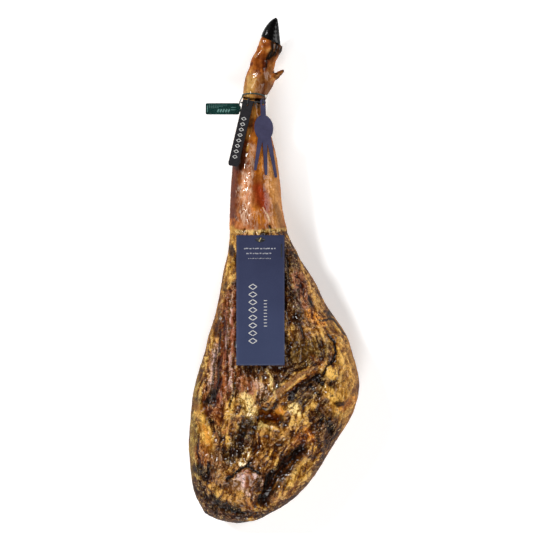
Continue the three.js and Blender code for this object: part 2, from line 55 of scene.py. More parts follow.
# Colours of the cured meat and its skin, in sRGB.
TONES = {
    "black": (18, 12, 8),
    "char": (44, 26, 16),
    "slate": (64, 48, 40),
    "umber": (78, 45, 20),
    "brown": (112, 68, 30),
    "rust": (128, 66, 24),
    "maroon": (80, 30, 14),
    "flesh": (132, 72, 42),
    "mauve": (181, 142, 116),
    "orange": (184, 108, 28),
    "ochre": (154, 103, 41),
    "gold": (181, 131, 54),
    "straw": (200, 161, 88),
    "cream": (226, 196, 144),
    "olive": (146, 114, 50),
    "moss": (96, 68, 28),
    "amber": (190, 110, 14),
    "skin": (160, 88, 32),
    "tan": (192, 132, 70),
    "rosy": (200, 128, 84),
    "red": (136, 40, 16),
}

# How much lighter or darker, in stops, a mark of a tone also makes the texture that runs through it.
WEIGHTS = {
    "black": -0.9,
    "char": -0.8,
    "slate": -0.4,
    "umber": -0.45,
    "moss": -0.35,
    "maroon": -0.3,
    "gold": 0.2,
    "mauve": 0.15,
    "straw": 0.25,
    "cream": 0.45,
}

# What colours the ham: tone, cover from 0 to 1, half width in pixels, and a route in the photograph's pixels.
SKIN_MARKS = [
    # shank
    ("tan", 0.9, 8, [(271, 160), (272, 190), (275, 222)]),
    ("orange", 0.6, 7, [(258, 140), (257, 175)]),
    # a rosy band where the skin's wet sheen runs: partly its colour, partly painted highlight
    ("rosy", 0.8, 6, [(247, 172), (246, 200), (245, 228)]),
    ("maroon", 0.6, 1.6, [(254, 160), (253, 190), (255, 215)]),
    ("rust", 0.7, 5, [(240, 205), (246, 222), (262, 222)]),
    ("maroon", 0.9, 5, [(236, 165), (234, 190), (233, 212)]),
    # the skin's dark red and char beside and under the leather tag: its own colour, darkened with painted
    # shadow of the tag
    ("maroon", 0.95, 9, [(244, 112), (241, 140), (241, 165)]),
    ("char", 0.8, 5, [(241, 118), (239, 145), (239, 164)]),
    ("umber", 0.7, 3, [(284, 170), (287, 200), (290, 226)]),
    ("rust", 1.0, 8, [(258, 184), (262, 212)]),
    ("red", 0.75, 5.5, [(259, 190), (265, 207)]),
    ("orange", 0.7, 5, [(256, 212), (262, 224)]),
    ("brown", 0.7, 2.5, [(275, 206), (280, 228)]),
    ("rust", 0.7, 4, [(250, 226), (268, 227)]),
    ("ochre", 0.85, 3.6, [(257, 103), (255, 116)]),
    ("ochre", 0.6, 2.5, [(250, 130), (248, 138)]),
    ("umber", 0.8, 2.2, [(252, 121), (250, 126)]),
    # painted shadow between the tags
    ("char", 0.7, 1.2, [(259, 101), (258, 108)]),
    ("gold", 0.5, 1.2, [(249, 146), (247, 152)]),
    # foot
    ("rust", 0.55, 6, [(264, 46), (258, 62)]),
    ("brown", 0.8, 4, [(271, 66), (266, 78), (268, 92)]),
    ("ochre", 0.9, 6, [(249, 80), (247, 98)]),
    ("umber", 0.6, 2.5, [(262, 82), (257, 100)]),
    ("brown", 0.6, 3, [(262, 78), (256, 98)]),
    ("tan", 0.3, 3, [(254, 76), (256, 88)]),
    ("umber", 0.7, 4, [(273, 88), (269, 100)]),
    ("straw", 0.4, 5, [(252, 80), (248, 97)]),
    ("brown", 0.8, 4.5, [(267, 79), (262, 98)]),
    ("maroon", 0.5, 2.5, [(265, 84), (262, 94)]),
    ("orange", 0.5, 2.5, [(277, 60), (274, 68)]),
    ("char", 0.95, 3.8, [(275, 39), (275, 51), (270, 58)]),
    ("char", 1.0, 4, [(280, 41), (281, 47), (280, 53)]),
    ("maroon", 0.9, 2.6, [(267, 62), (265, 70)]),
]
# Many dark marks of the face lie in its hollows and cuts: partly the meat's own dark colour, partly painted
# shade.
FACE_MARKS = [
    # left rim and its fat
    ("gold", 0.9, 5, [(232, 232), (229, 270), (222, 300)]),
    ("ochre", 0.8, 5, [(220, 300), (213, 325), (207, 345)]),
    ("olive", 0.95, 5.5, [(205, 345), (198, 380), (193.5, 420), (192, 460), (197, 490)]),
    ("gold", 0.75, 4, [(211, 335), (206, 360), (202, 392)]),
    ("gold", 1.0, 6, [(200, 408), (204, 428), (209, 445)]),
    ("orange", 0.6, 2.2, [(205, 425), (210, 444)]),
    ("char", 0.75, 3, [(232, 248), (233, 254)]),
    ("char", 0.7, 2.6, [(226, 283), (225, 289)]),
    ("char", 0.7, 2.6, [(224, 304), (219, 322)]),
    # left flesh
    ("flesh", 0.9, 11, [(234, 300), (228, 345), (221, 385), (214, 402)]),
    ("maroon", 0.8, 4, [(226, 318), (222, 360), (216, 398)]),
    ("maroon", 0.7, 2.5, [(235, 312), (235, 350), (231, 385)]),
    ("flesh", 0.9, 3, [(231, 300), (232, 340), (229, 372)]),
    ("black", 0.9, 3.8, [(214, 391), (209, 402), (214, 410)]),
    ("rust", 0.75, 6, [(211, 410), (221, 415), (226, 426)]),
    ("gold", 0.7, 3.5, [(233, 397), (229, 410), (224, 425)]),
    ("flesh", 0.8, 8, [(240, 376), (250, 386)]),
    # under the card label and right of it
    # a dark band below the card's lower end: partly the flesh's colour, partly painted shade in the hollow
    # there
    ("umber", 0.9, 11, [(250, 366), (280, 370), (296, 362)]),
    ("straw", 0.8, 1.2, [(267, 368), (272, 378), (271, 385), (275, 394)]),
    ("mauve", 0.5, 4, [(258, 384), (264, 392)]),
    ("umber", 0.85, 9, [(290, 250), (292, 290), (294, 330), (300, 352)]),
    ("gold", 0.8, 2.2, [(291, 326), (290, 340), (292, 352)]),
    ("flesh", 0.7, 6, [(298, 276), (303, 300)]),
    ("ochre", 0.8, 5, [(296, 240), (306, 262), (316, 290), (322, 308)]),
    ("orange", 0.8, 5, [(309, 312), (322, 322)]),
    ("slate", 0.7, 5, [(294, 292), (298, 322)]),
    # a black line along the card's right edge: painted shadow of the card
    ("black", 0.7, 2.2, [(286, 262), (287, 284)]),
    # haunch
    ("gold", 0.8, 13, [(338, 330), (348, 355), (350, 385), (343, 412)]),
    ("orange", 0.15, 8, [(343, 340), (350, 362), (346, 392)]),
    ("ochre", 0.6, 4, [(354, 345), (357, 370), (355, 400)]),
    ("gold", 0.95, 5.4, [(328, 371), (330, 374)]),
    ("straw", 0.8, 2.2, [(317, 384), (323, 386)]),
    ("gold", 1.0, 5.4, [(330, 392), (333, 398)]),
    ("orange", 0.6, 5, [(342, 405), (352, 400)]),
    ("black", 0.85, 3, [(336, 402), (342, 402)]),
    # hip bone and the hollow, whose dark marks are partly the flesh's colour and partly painted shade
    ("moss", 0.9, 12, [(290, 350), (305, 356), (318, 348)]),
    ("umber", 0.9, 8, [(286, 368), (302, 376)]),
    ("rust", 0.6, 3, [(312, 356), (322, 364)]),
    ("ochre", 0.8, 4, [(308, 330), (322, 328), (332, 334)]),
    ("moss", 0.9, 9, [(298, 398), (308, 390), (318, 380)]),
    ("umber", 0.85, 5, [(302, 394), (312, 385), (318, 378)]),
    ("black", 0.8, 2.6, [(317, 374), (322, 383)]),
    ("black", 0.7, 1.6, [(309, 385), (318, 396)]),
    # a grey mark for the bluish sheen there: painted reflection
    ("slate", 0.8, 2.6, [(319, 404), (326, 398)]),
    ("umber", 0.85, 12, [(318, 412), (328, 424), (332, 438)]),
    ("black", 0.7, 3.5, [(317, 410), (322, 418)]),
    ("black", 0.7, 3, [(328, 418), (331, 432)]),
    ("ochre", 0.8, 4, [(352, 412), (342, 438), (330, 456)]),
    # sinew and the fat below it
    ("brown", 0.95, 4.6, [(312, 367), (298, 377), (285, 388), (278, 394)]),
    ("orange", 0.45, 1.6, [(314, 370), (300, 380), (288, 389)]),
    # painted highlight on the sinew's edges as thin gold lines, and painted shade beside it as thin char
    # lines
    ("gold", 0.9, 0.9, [(310, 363.5), (295, 373), (281, 384)]),
    ("gold", 0.8, 0.8, [(306, 372), (296, 380), (287, 388), (282, 396)]),
    ("char", 0.9, 1.1, [(316, 374), (304, 383), (294, 391), (288, 398)]),
    ("char", 0.7, 1.0, [(306, 363), (292, 372), (278, 383)]),
    ("gold", 0.9, 3.4, [(314, 402), (304, 411), (293, 422)]),
    ("straw", 0.95, 4.5, [(292, 406), (298, 409)]),
    ("straw", 0.9, 7, [(247, 398), (252, 410), (256, 420)]),
    ("straw", 0.9, 4, [(256, 414), (263, 425)]),
    ("cream", 0.9, 2, [(249, 412), (255, 418)]),
    ("olive", 0.8, 4, [(256, 422), (266, 428)]),
    # the cavity's moss and char marks: partly its colour, partly painted shade in the bowl
    ("moss", 1.0, 6.5, [(265, 414), (278, 417)]),
    ("maroon", 0.7, 2.6, [(272, 410), (278, 414)]),
    ("char", 0.8, 1.4, [(258, 418), (260, 411), (267, 406)]),
    ("amber", 0.55, 3.0, [(278, 410), (282, 411)]),
    ("amber", 0.6, 4.5, [(264, 413), (274, 416)]),
    ("olive", 0.7, 2.6, [(263, 415), (269, 417)]),
    # rump
    ("ochre", 0.3, 13, [(262, 438), (282, 440)]),
    ("char", 0.9, 8, [(248, 424), (240, 440), (232, 454)]),
    ("slate", 0.5, 4, [(246, 432), (252, 444)]),
    ("ochre", 0.7, 5, [(262, 432), (258, 450), (262, 462)]),
    ("rust", 0.8, 6, [(308, 430), (296, 442)]),
    ("orange", 0.8, 3.2, [(308, 428), (312, 438)]),
    ("rust", 0.85, 7, [(201, 448), (205, 462)]),
    ("orange", 0.6, 3.5, [(207, 470), (212, 478)]),
    ("black", 0.9, 6, [(199, 468), (208, 474), (212, 468)]),
    ("brown", 0.8, 8, [(215, 455), (220, 478)]),
    ("ochre", 0.9, 8, [(228, 494), (244, 498)]),
    ("orange", 1.0, 3.6, [(248, 499), (251, 504)]),
    ("black", 0.9, 6.5, [(213, 498), (222, 506), (238, 510)]),
    ("umber", 0.9, 8, [(198, 484), (206, 502), (220, 517), (244, 521)]),
    ("char", 0.6, 4, [(201, 484), (207, 498), (216, 508)]),
    ("brown", 0.7, 8, [(262, 462), (248, 500)]),
    # the long dark groove: its dark marks partly the flesh's colour and partly painted shade in it, and its
    # slate line a painted sheen
    ("umber", 0.9, 7, [(301, 448), (286, 463), (272, 481), (263, 498)]),
    ("char", 0.9, 3.6, [(300, 447), (284, 463), (270, 481), (261, 500)]),
    ("slate", 0.8, 1.8, [(288, 466), (279, 478), (272, 490)]),
    ("black", 0.8, 1.6, [(298, 445), (280, 461), (267, 478), (258, 500)]),
    ("gold", 0.9, 8, [(306, 466), (293, 484)]),
    ("ochre", 0.8, 6, [(284, 496), (300, 490)]),
    ("umber", 0.8, 8, [(262, 516), (284, 508)]),
    ("umber", 0.7, 5, [(326, 458), (310, 482), (294, 500)]),
    ("cream", 1.0, 3.0, [(243, 463), (246, 455), (248, 448)]),
    ("mauve", 0.75, 4, [(238, 478), (231, 483)]),
    ("mauve", 1.0, 6, [(246, 471), (239, 482)]),
    ("mauve", 1.0, 6, [(250, 472), (249, 488)]),
    ("mauve", 0.9, 4, [(256, 472), (260, 477)]),
    ("flesh", 0.9, 2.4, [(244, 469), (250, 472), (247, 484)]),
    ("rust", 0.8, 1.6, [(250, 468), (254, 478), (250, 490)]),
    ("slate", 0.7, 1.6, [(256, 487), (261, 479)]),
    ("brown", 0.6, 0.9, [(240, 471), (242, 478), (237, 485)]),
    # splits and the edge of the skin, drawn as black lines of painted shade in them
    ("black", 1.0, 0.9, [(329, 332), (333.5, 339), (335.6, 350), (333, 360), (326, 366), (322.7, 376)]),
    ("black", 1.0, 1.1, [(228, 476), (236, 470), (242, 465.5), (248, 463.5), (257, 469), (262, 472)]),
    ("black", 0.9, 1.0, [(321, 319), (333, 320), (339, 327), (345, 335)]),
    ("black", 0.8, 0.9, [(236, 372), (234, 392), (230, 404)]),
]
FINE_MARKS = [
    # folds of the left flesh, whose mauve lines are partly the flesh's colour and partly painted sheen on the
    # crests
    ("mauve", 0.6, 2.8, [(218, 346), (214, 356), (215, 365), (211, 377), (211, 388)]),
    ("slate", 0.8, 1.4, [(217, 350), (214, 372), (212, 392)]),
    ("mauve", 0.5, 1.8, [(229, 350), (232, 362), (230, 374), (232, 388)]),
    ("mauve", 0.6, 1.8, [(232, 296), (230, 318), (227, 346)]),
    ("rust", 0.85, 1.3, [(223, 325), (223, 362), (224, 388)]),
    ("char", 0.8, 0.9, [(221, 330), (219, 360), (218, 388)]),
    ("char", 0.7, 0.8, [(227, 330), (228, 362), (228, 392)]),
    ("rust", 0.7, 1.4, [(211, 352), (206, 378), (204, 402)]),
    # streaks in the long dark groove, the slate one a painted sheen
    ("ochre", 0.7, 0.8, [(293, 458), (281, 473), (272, 488)]),
    ("brown", 0.8, 0.8, [(290, 455), (276, 472), (267, 488)]),
    ("slate", 0.8, 0.8, [(286, 461), (275, 476), (266, 493)]),
    # skin and foot
    ("cream", 0.6, 0.5, [(263, 208), (267, 215), (269, 222)]),
    # black in a nick at the skin's cut edge: painted shade
    ("black", 0.95, 1.3, [(269, 226.5), (270.5, 230)]),
    ("straw", 0.6, 1.9, [(237, 231.5), (255, 232), (287, 229.5)]),
    # black lines in the cleft behind the claws: painted shade in it
    ("black", 0.95, 1.2, [(277, 40), (275.5, 48), (274.5, 55), (269, 59)]),
    ("black", 0.9, 1.0, [(271.5, 39), (271.5, 50), (267, 59.5)]),
    ("brown", 0.6, 0.8, [(278.5, 41), (280, 48)]),
    ("umber", 0.8, 2.6, [(284, 71.5), (276, 77)]),
    ("tan", 0.5, 0.8, [(282, 72.5), (277, 76)]),
    ("char", 0.9, 0.9, [(273.5, 72.5), (277, 74.5)]),
    # more painted shade in that cleft, and in the hole below it
    ("black", 0.95, 0.8, [(272.5, 41), (273, 50), (271, 56)]),
    ("brown", 0.7, 0.5, [(274.8, 42), (274, 52)]),
    ("black", 0.9, 1.0, [(267, 62), (266, 68)]),
    # a thin pale streak on the foot: a painted glint
    ("cream", 0.7, 0.5, [(257, 79), (252, 88)]),
]

# Relief finer than the solid's: height in millimetres, half width in pixels, and a route in pixels.
CUTS = [
    (-3.2, 1.0, [(329, 332), (333.5, 339), (335.6, 350), (333, 360), (326, 366), (322.7, 376)]),
    (-3.4, 1.4, [(228, 477), (236, 471), (242, 466.5), (248, 464.5), (257, 470), (262, 473)]),
    (2.2, 3.2, [(238, 474), (246, 469), (256, 475)]),
    (4.2, 2.8, [(312, 366), (298, 376), (285, 386), (276, 392)]),
    (-3.4, 2.4, [(310, 374), (296, 385), (286, 393)]),
    (2.8, 3.6, [(327, 371), (331, 373)]),
    (-4.0, 2.6, [(316, 376), (322, 382)]),
    (2.4, 2.4, [(279, 409), (284, 411)]),
    (2.0, 3.0, [(293, 406), (298, 410)]),
    (2.4, 2.2, [(314, 402), (304, 411), (293, 422)]),
    (-4.5, 4.0, [(266, 414), (276, 416)]),
    (-2.6, 4.5, [(301, 447), (287, 461), (274, 477), (264, 494)]),
    (2.2, 3.0, [(308, 451), (294, 466), (282, 482), (272, 499)]),
    (-1.8, 1.3, [(225, 300), (224, 340), (219, 385), (214, 402)]),
    (-1.4, 1.2, [(231, 300), (230, 345), (226, 380)]),
    (1.4, 1.8, [(228, 310), (227, 350), (222, 384)]),
    (1.3, 1.6, [(234, 300), (234, 350), (231, 384)]),
    (-2.0, 2.0, [(213, 396), (220, 412), (228, 424)]),
    (-2.0, 3.0, [(246, 428), (238, 442), (231, 454)]),
    (1.6, 3.0, [(203, 418), (207, 440)]),
    (-1.6, 2.0, [(196, 470), (206, 474), (212, 468)]),
    (-2.2, 2.2, [(212, 498), (222, 505), (236, 510)]),
    (-1.6, 1.4, [(268, 226), (270.5, 230)]),
    (-1.2, 1.6, [(288, 262), (290, 300), (296, 330)]),
    (-2.2, 1.8, [(277, 42), (274, 52), (268, 61), (266, 69)]),
    (-1.4, 1.1, [(321, 319), (333, 320), (339, 327), (345, 335)]),
]

# Bundles of long folds: how many, their height in millimetres, half width in pixels, and their outer routes.
FURROWS = [
    (7, 1.1, 0.9, [(222, 285), (213, 335), (205, 395), (208, 432)],
     [(237, 285), (237, 335), (233, 385), (226, 430)]),
    (6, 0.9, 0.9, [(214, 430), (209, 452), (206, 478)],
     [(242, 420), (234, 448), (226, 474)]),
    (8, 0.8, 0.8, [(258, 428), (246, 452), (238, 468)],
     [(300, 425), (280, 452), (262, 482)]),
    (5, 1.1, 0.9, [(318, 361), (292, 372), (268, 388)],
     [(313, 373), (294, 387), (276, 402)]),
    (7, 0.7, 0.9, [(334, 404), (318, 432), (300, 456)],
     [(354, 420), (332, 460), (304, 496)]),
    (5, 0.7, 0.9, [(288, 245), (290, 290), (298, 330)],
     [(300, 240), (310, 285), (318, 318)]),
    (5, 0.7, 0.8, [(250, 366), (246, 380), (238, 396)],
     [(284, 366), (280, 380), (274, 392)]),
]

# Where the face is smooth fat, skin or bone: cover from 0 to 1, half width in pixels, and a route.
SMOOTH = [
    (0.72, 14, [(340, 320), (349, 350), (351, 385), (344, 408)]),
    (0.9, 6, [(200, 405), (205, 428), (210, 445)]),
    (0.8, 5, [(194, 380), (190, 430), (192, 475)]),
    (0.6, 5, [(232, 235), (229, 270), (221, 310), (212, 345)]),
    (0.9, 5, [(327, 371), (331, 373)]),
    (0.8, 5, [(330, 388), (334, 396)]),
    (0.6, 8, [(308, 345), (300, 352)]),
    (0.45, 7, [(228, 320), (222, 370), (216, 395)]),
    (0.8, 8, [(246, 474), (242, 484)]),
    (0.6, 6, [(301, 447), (274, 477), (262, 500)]),
    (0.7, 6, [(265, 413), (284, 412)]),
    (0.5, 8, [(300, 466), (288, 484)]),
    (0.6, 3, [(311, 366), (296, 377), (282, 388)]),
]

# Where the skin is crumpled into crinkles that get pale painted highlights: cover from 0 to 1, half width in
# pixels, and a route.
CRINKLE_GLINT_AREAS = [
    (0.9, 6, [(246, 176), (245, 200), (245, 222)]),
    (0.4, 8, [(247, 212), (256, 222)]),
    (0.5, 4, [(252, 148), (250, 172)]),
    (0.2, 5, [(254, 76), (256, 90)]),
]

# Which way the strands of the flesh run, as routes in pixels.
GRAIN = [
    [(216, 310), (200, 360), (192, 430), (192, 480), (200, 505)],
    [(232, 240), (226, 330), (214, 400), (206, 440)],
    [(243, 380), (238, 420), (226, 470), (216, 500)],
    [(262, 380), (256, 430), (236, 480), (222, 505)],
    [(312, 368), (283, 388), (262, 410)],
    [(302, 445), (285, 461), (271, 479), (261, 501)],
    [(325, 420), (300, 450), (285, 480), (268, 510)],
    [(320, 320), (345, 350), (355, 385), (340, 430), (310, 475)],
    [(290, 240), (300, 290), (320, 330)],
    [(262, 240), (264, 340), (268, 375)],
    [(225, 500), (245, 515), (270, 508)],
]

SKIN_EDGE = 66.0  # y in millimetres where the skin of the shank has been cut
TIED_Y = 281.0  # y in millimetres of the cord and strap round the ankle, near which nothing rises
DEWCLAW = [(284, 71.5), (275, 77)]  # its route in pixels, as it sticks out of the foot
HEEL_Y = 362.0  # y in millimetres where the foot leans outwards
HEEL_REACH = 12.0  # how far along the foot that lean goes
HEEL_LEAN = 2.2
CLEARANCE = 0.35  # gap in millimetres between the ham and what lies on it

# The grid of millimetre cells on which streaks are drawn along the grain: its lowest corner and its cells.
GRID_X, GRID_Y = -150, -425
GRID_WIDE, GRID_TALL = 300, 560

# The four ways that fibres run: their turn in degrees, and the painted value that is large there,
# with its sign.
FIBRE_RUNS = [(0, "grain_x", 1), (45, "grain_y", 1), (90, "grain_x", -1), (135, "grain_y", -1)]

# Colours of the small pieces, in sRGB: the main ones first, then those of wear, clouds and fibres.
# Painted highlights of the meat: on the crests of its crumbs, and on the crinkles of its skin.
TIP_HIGHLIGHT = (240, 208, 150)
CRINKLE_HIGHLIGHT = (246, 214, 186)
HORN_TONES = [(2, 1, 1), (9, 7, 6), (80, 66, 54)]
LEATHER_TONES = [(20, 18, 22), (34, 31, 36), (17, 15, 18)]
BOARD_TONES = [(46, 44, 71), (56, 54, 82), (73, 71, 100)]
CARD_TONES = [(50, 58, 86), (40, 44, 70), (62, 68, 98), (74, 80, 112)]
CORD_TONES = [(14, 13, 14), (44, 42, 44)]
BRASS_TONES = [(176, 150, 98), (206, 184, 136)]
GREEN_TONES = [(0, 36, 32), (0, 48, 43)]
CLASP_TONES = [(226, 222, 212), (206, 200, 188)]
EYELET_TONES = [(9, 9, 10), (20, 19, 20)]
WHITE_PRINT = (214, 212, 208)
GREY_PRINT = (164, 164, 172)
SEAL_PRINT = (84, 132, 124)
SLOT_TONE = (16, 17, 26)

# Tags and print, in millimetres. A tag's lie is its turn about X, Y and Z, in degrees.
PRINT = 0.12  # thickness of the plates that stand for ink
LEATHER_LIE = (-6.5, -22, -13.1)
LEATHER_MARKS = 8
SEAL_TOP = 61.12  # height of the seal's print
LABEL_LIE = (-6.4, 0, 0)
LABEL_WIDTH, LABEL_LENGTH = 78.4, 212.3
LEAF = 0.7  # thickness of the card's leaves
LEAF_APART = 1.15  # from the middle of the folded card to the middle of a leaf
FOLD = 1.6  # how far from the fold the leaves reach that
CARD_TOP = 1.5  # height of the front leaf's top over the label's own middle
# Lines of small print: y, half length, length of a dash and height.
SMALL_LINES = [(-22.2, 25, 3.4, 1.82), (-30.2, 20.5, 3.0, 1.82), (-38.4, 18.5, 1.8, 1.19)]
DASHES = [0.7, 1.3, 1.0, 0.6]  # how the dashes of a line vary in length
EYELET_REACH = (8.9, 4.3)  # half its length and half its width
EYELET_PLACE = (-0.3, -7.6, 0)
EYELET_RIM = (0.16, 0.42, -0.5)  # heights of its inner edge, its outer edge and its foot

# Lights: name, where it shines from, how wide it is in degrees, and its strength.
LIGHTS = [
    ("key", (-0.6, 0.45, 0.66), 10, 2.1),
    ("side", (0.7, 0.2, 0.68), 32, 1.35),
    ("low", (-0.1, -0.72, 0.68), 26, 1.5),
]
FLOOR_GLOW = 0.25  # the photograph's ground is pure white
LENS, SENSOR = 210, 36  # long, because the photograph shows next to no perspective
SHARP_HEIGHT = 0.05  # height in metres at which the frame covers exactly what the photograph does


def linear(srgb):
    """A colour of 0 to 255 as the linear one that shaders use."""
    parts = [c / 255 for c in srgb]
    return [c / 12.92 if c <= 0.04045 else ((c + 0.055) / 1.055) ** 2.4 for c in parts]


def spot(pixel):
    """Where a pixel of the photograph lies, in millimetres."""
    return ((pixel[0] - PHOTO_ORIGIN[0]) * PIXEL, (PHOTO_ORIGIN[1] - pixel[1]) * PIXEL)


def ease(value, low, high):
    """0 below low, 1 above high and smooth between, for numbers and arrays."""
    t = np.clip((value - low) / (high - low), 0, 1)
    return t * t * (3 - 2 * t)


def distance(x, y, route):
    """How far each point lies from a route of pixels, in millimetres."""
    least = np.full(len(x), 1e9)
    places = [spot(p) for p in route]
    for (ax, ay), (bx, by) in zip(places, places[1:]):
        length2 = (bx - ax) ** 2 + (by - ay) ** 2
        t = np.clip(((x - ax) * (bx - ax) + (y - ay) * (by - ay)) / length2, 0, 1)
        least = np.minimum(least, np.hypot(x - ax - t * (bx - ax), y - ay - t * (by - ay)))
    return least


def crest(x, y, width, route):
    """1 on a route of pixels and 0 well beside it, with its half width in pixels."""
    away = distance(x, y, route) / (width * PIXEL)
    return np.exp(-away * away)


def covered(x, y, areas, low, high, stray=0.0):
    """How much each point is covered by areas, each given by its cover, half width in pixels and route."""
    most = np.zeros(len(x))
    for cover, width, route in areas:
        away = distance(x, y, route) / (width * PIXEL) + stray
        most = np.maximum(most, cover * (1 - ease(away, low, high)))
    return most


def ramp(values, tones):
    """A colour for each value: -1.5 gives the first tone, 1.5 the last, and those between blend."""
    stops = np.linspace(-1.5, 1.5, len(tones))
    colours = np.array([linear(TONES[tone]) for tone in tones])
    return np.column_stack([np.interp(values, stops, colours[:, i]) for i in range(3)])


def even(values):
    """The values with a mean of 0 and a spread of 1, without their rare extremes."""
    return np.clip((values - values.mean()) / values.std(), -2.5, 2.5)


def rough_noise(points, size, octaves=4, stretch=(1, 1, 1), shift=0.0):
    """Fractal noise at each point, with bumps of the size in millimetres."""
    scaled = points * (np.array(stretch) / size) + shift
    return even(np.array([noise.fractal(p, 1.0, 2.0, octaves) for p in scaled.tolist()]))


def ridges(points, size, shift=0.0):
    """Noise of sharp crests at each point, with crests the size apart in millimetres."""
    scaled = points / size + shift
    return even(np.array([noise.ridged_multi_fractal(p, 0.9, 2.1, 4, 1.0, 2.0) for p in scaled.tolist()]))


def lumps(points, size):
    """Rounded lumps with creases between them, the size apart in millimetres."""
    near = [noise.voronoi(p)[0] for p in (points / size).tolist()]
    return even(np.sqrt(np.array([d[1] - d[0] for d in near])))


def bent(points, size, reach, shift=0.0):
    """The points moved about by soft noise, so that what is drawn on them gets crooked."""
    scaled = points / size + shift
    return points + reach * np.array([noise.noise_vector(p)[:] for p in scaled.tolist()])


# Meshes

def placed(name, data):
    """A new object in the scene with this data."""
    made = bpy.data.objects.new(name, data)
    bpy.context.scene.collection.objects.link(made)
    return made


def shown(name, mesh, material, slot, *nodes):
    """Puts a finished mesh in the scene as a piece that stands for the nodes."""
    piece = placed(name, mesh)
    mesh.materials.clear()
    mesh.materials.append(material)
    mesh.shade_smooth()
    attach(piece, "root")
    if nodes:
        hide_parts(*nodes)


def mesh_of(bm, name):
    mesh = bpy.data.meshes.new(name)
    bm.to_mesh(mesh)
    bm.free()
    return mesh


def settled(draft, name):
    """The draft's mesh with its modifiers applied, under a new name. The draft itself is thrown away."""
    depsgraph = bpy.context.evaluated_depsgraph_get()
    mesh = bpy.data.meshes.new_from_object(draft.evaluated_get(depsgraph))
    mesh.name = name
    bpy.data.objects.remove(draft)
    return mesh


def refined(node, name, grain, smoothing):
    """A copy of a node's solid in even faces of the grain in millimetres, with its facets smoothed away."""
    bm = bmesh.new()
    bm.from_mesh(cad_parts[node].data)
    bmesh.ops.remove_doubles(bm, verts=bm.verts, dist=1e-6)
    draft = placed(name + "_draft", mesh_of(bm, name + "_draft"))
    remesh = draft.modifiers.new("even", "REMESH")
    remesh.mode = "VOXEL"
    remesh.voxel_size = grain * MM
    smooth = draft.modifiers.new("soften", "SMOOTH")
    smooth.factor = 0.5
    smooth.iterations = smoothing
    return settled(draft, name)


def thinned(mesh, loose, share):
    """The mesh with fewer faces where loose is true: share of all its triangles stays."""
    draft = placed(mesh.name + "_draft", mesh)
    group = draft.vertex_groups.new(name="loose")
    group.add(np.flatnonzero(loose).tolist(), 1.0, "REPLACE")
    decimate = draft.modifiers.new("thin", "DECIMATE")
    decimate.ratio = share
    decimate.vertex_group = "loose"
    return settled(draft, mesh.name + "_thin")


def corners(mesh):
    """The mesh's points in millimetres and its normals, as arrays."""
    points = np.empty(len(mesh.vertices) * 3)
    mesh.vertices.foreach_get("co", points)
    normals = np.array([v.vector[:] for v in mesh.vertex_normals])
    return points.reshape(-1, 3) / MM, normals


def move_corners(mesh, points):
    mesh.vertices.foreach_set("co", (points * MM).ravel())
    mesh.update()


def roughened(mesh, rise_of):
    """The mesh with its points moved outwards by what rise_of gives for them, in millimetres."""
    points, normals = corners(mesh)
    move_corners(mesh, points + normals * rise_of(points)[:, None])
    return mesh


def paint(mesh, name, values):
    """Stores a value or a colour for each point of the mesh, for its material."""
    if values.ndim == 1:
        mesh.attributes.new(name, "FLOAT", "POINT").data.foreach_set("value", values)
    else:
        full = np.column_stack([values, np.ones(len(values))])
        mesh.attributes.new(name, "FLOAT_COLOR", "POINT").data.foreach_set("color", full.ravel())


# Materials

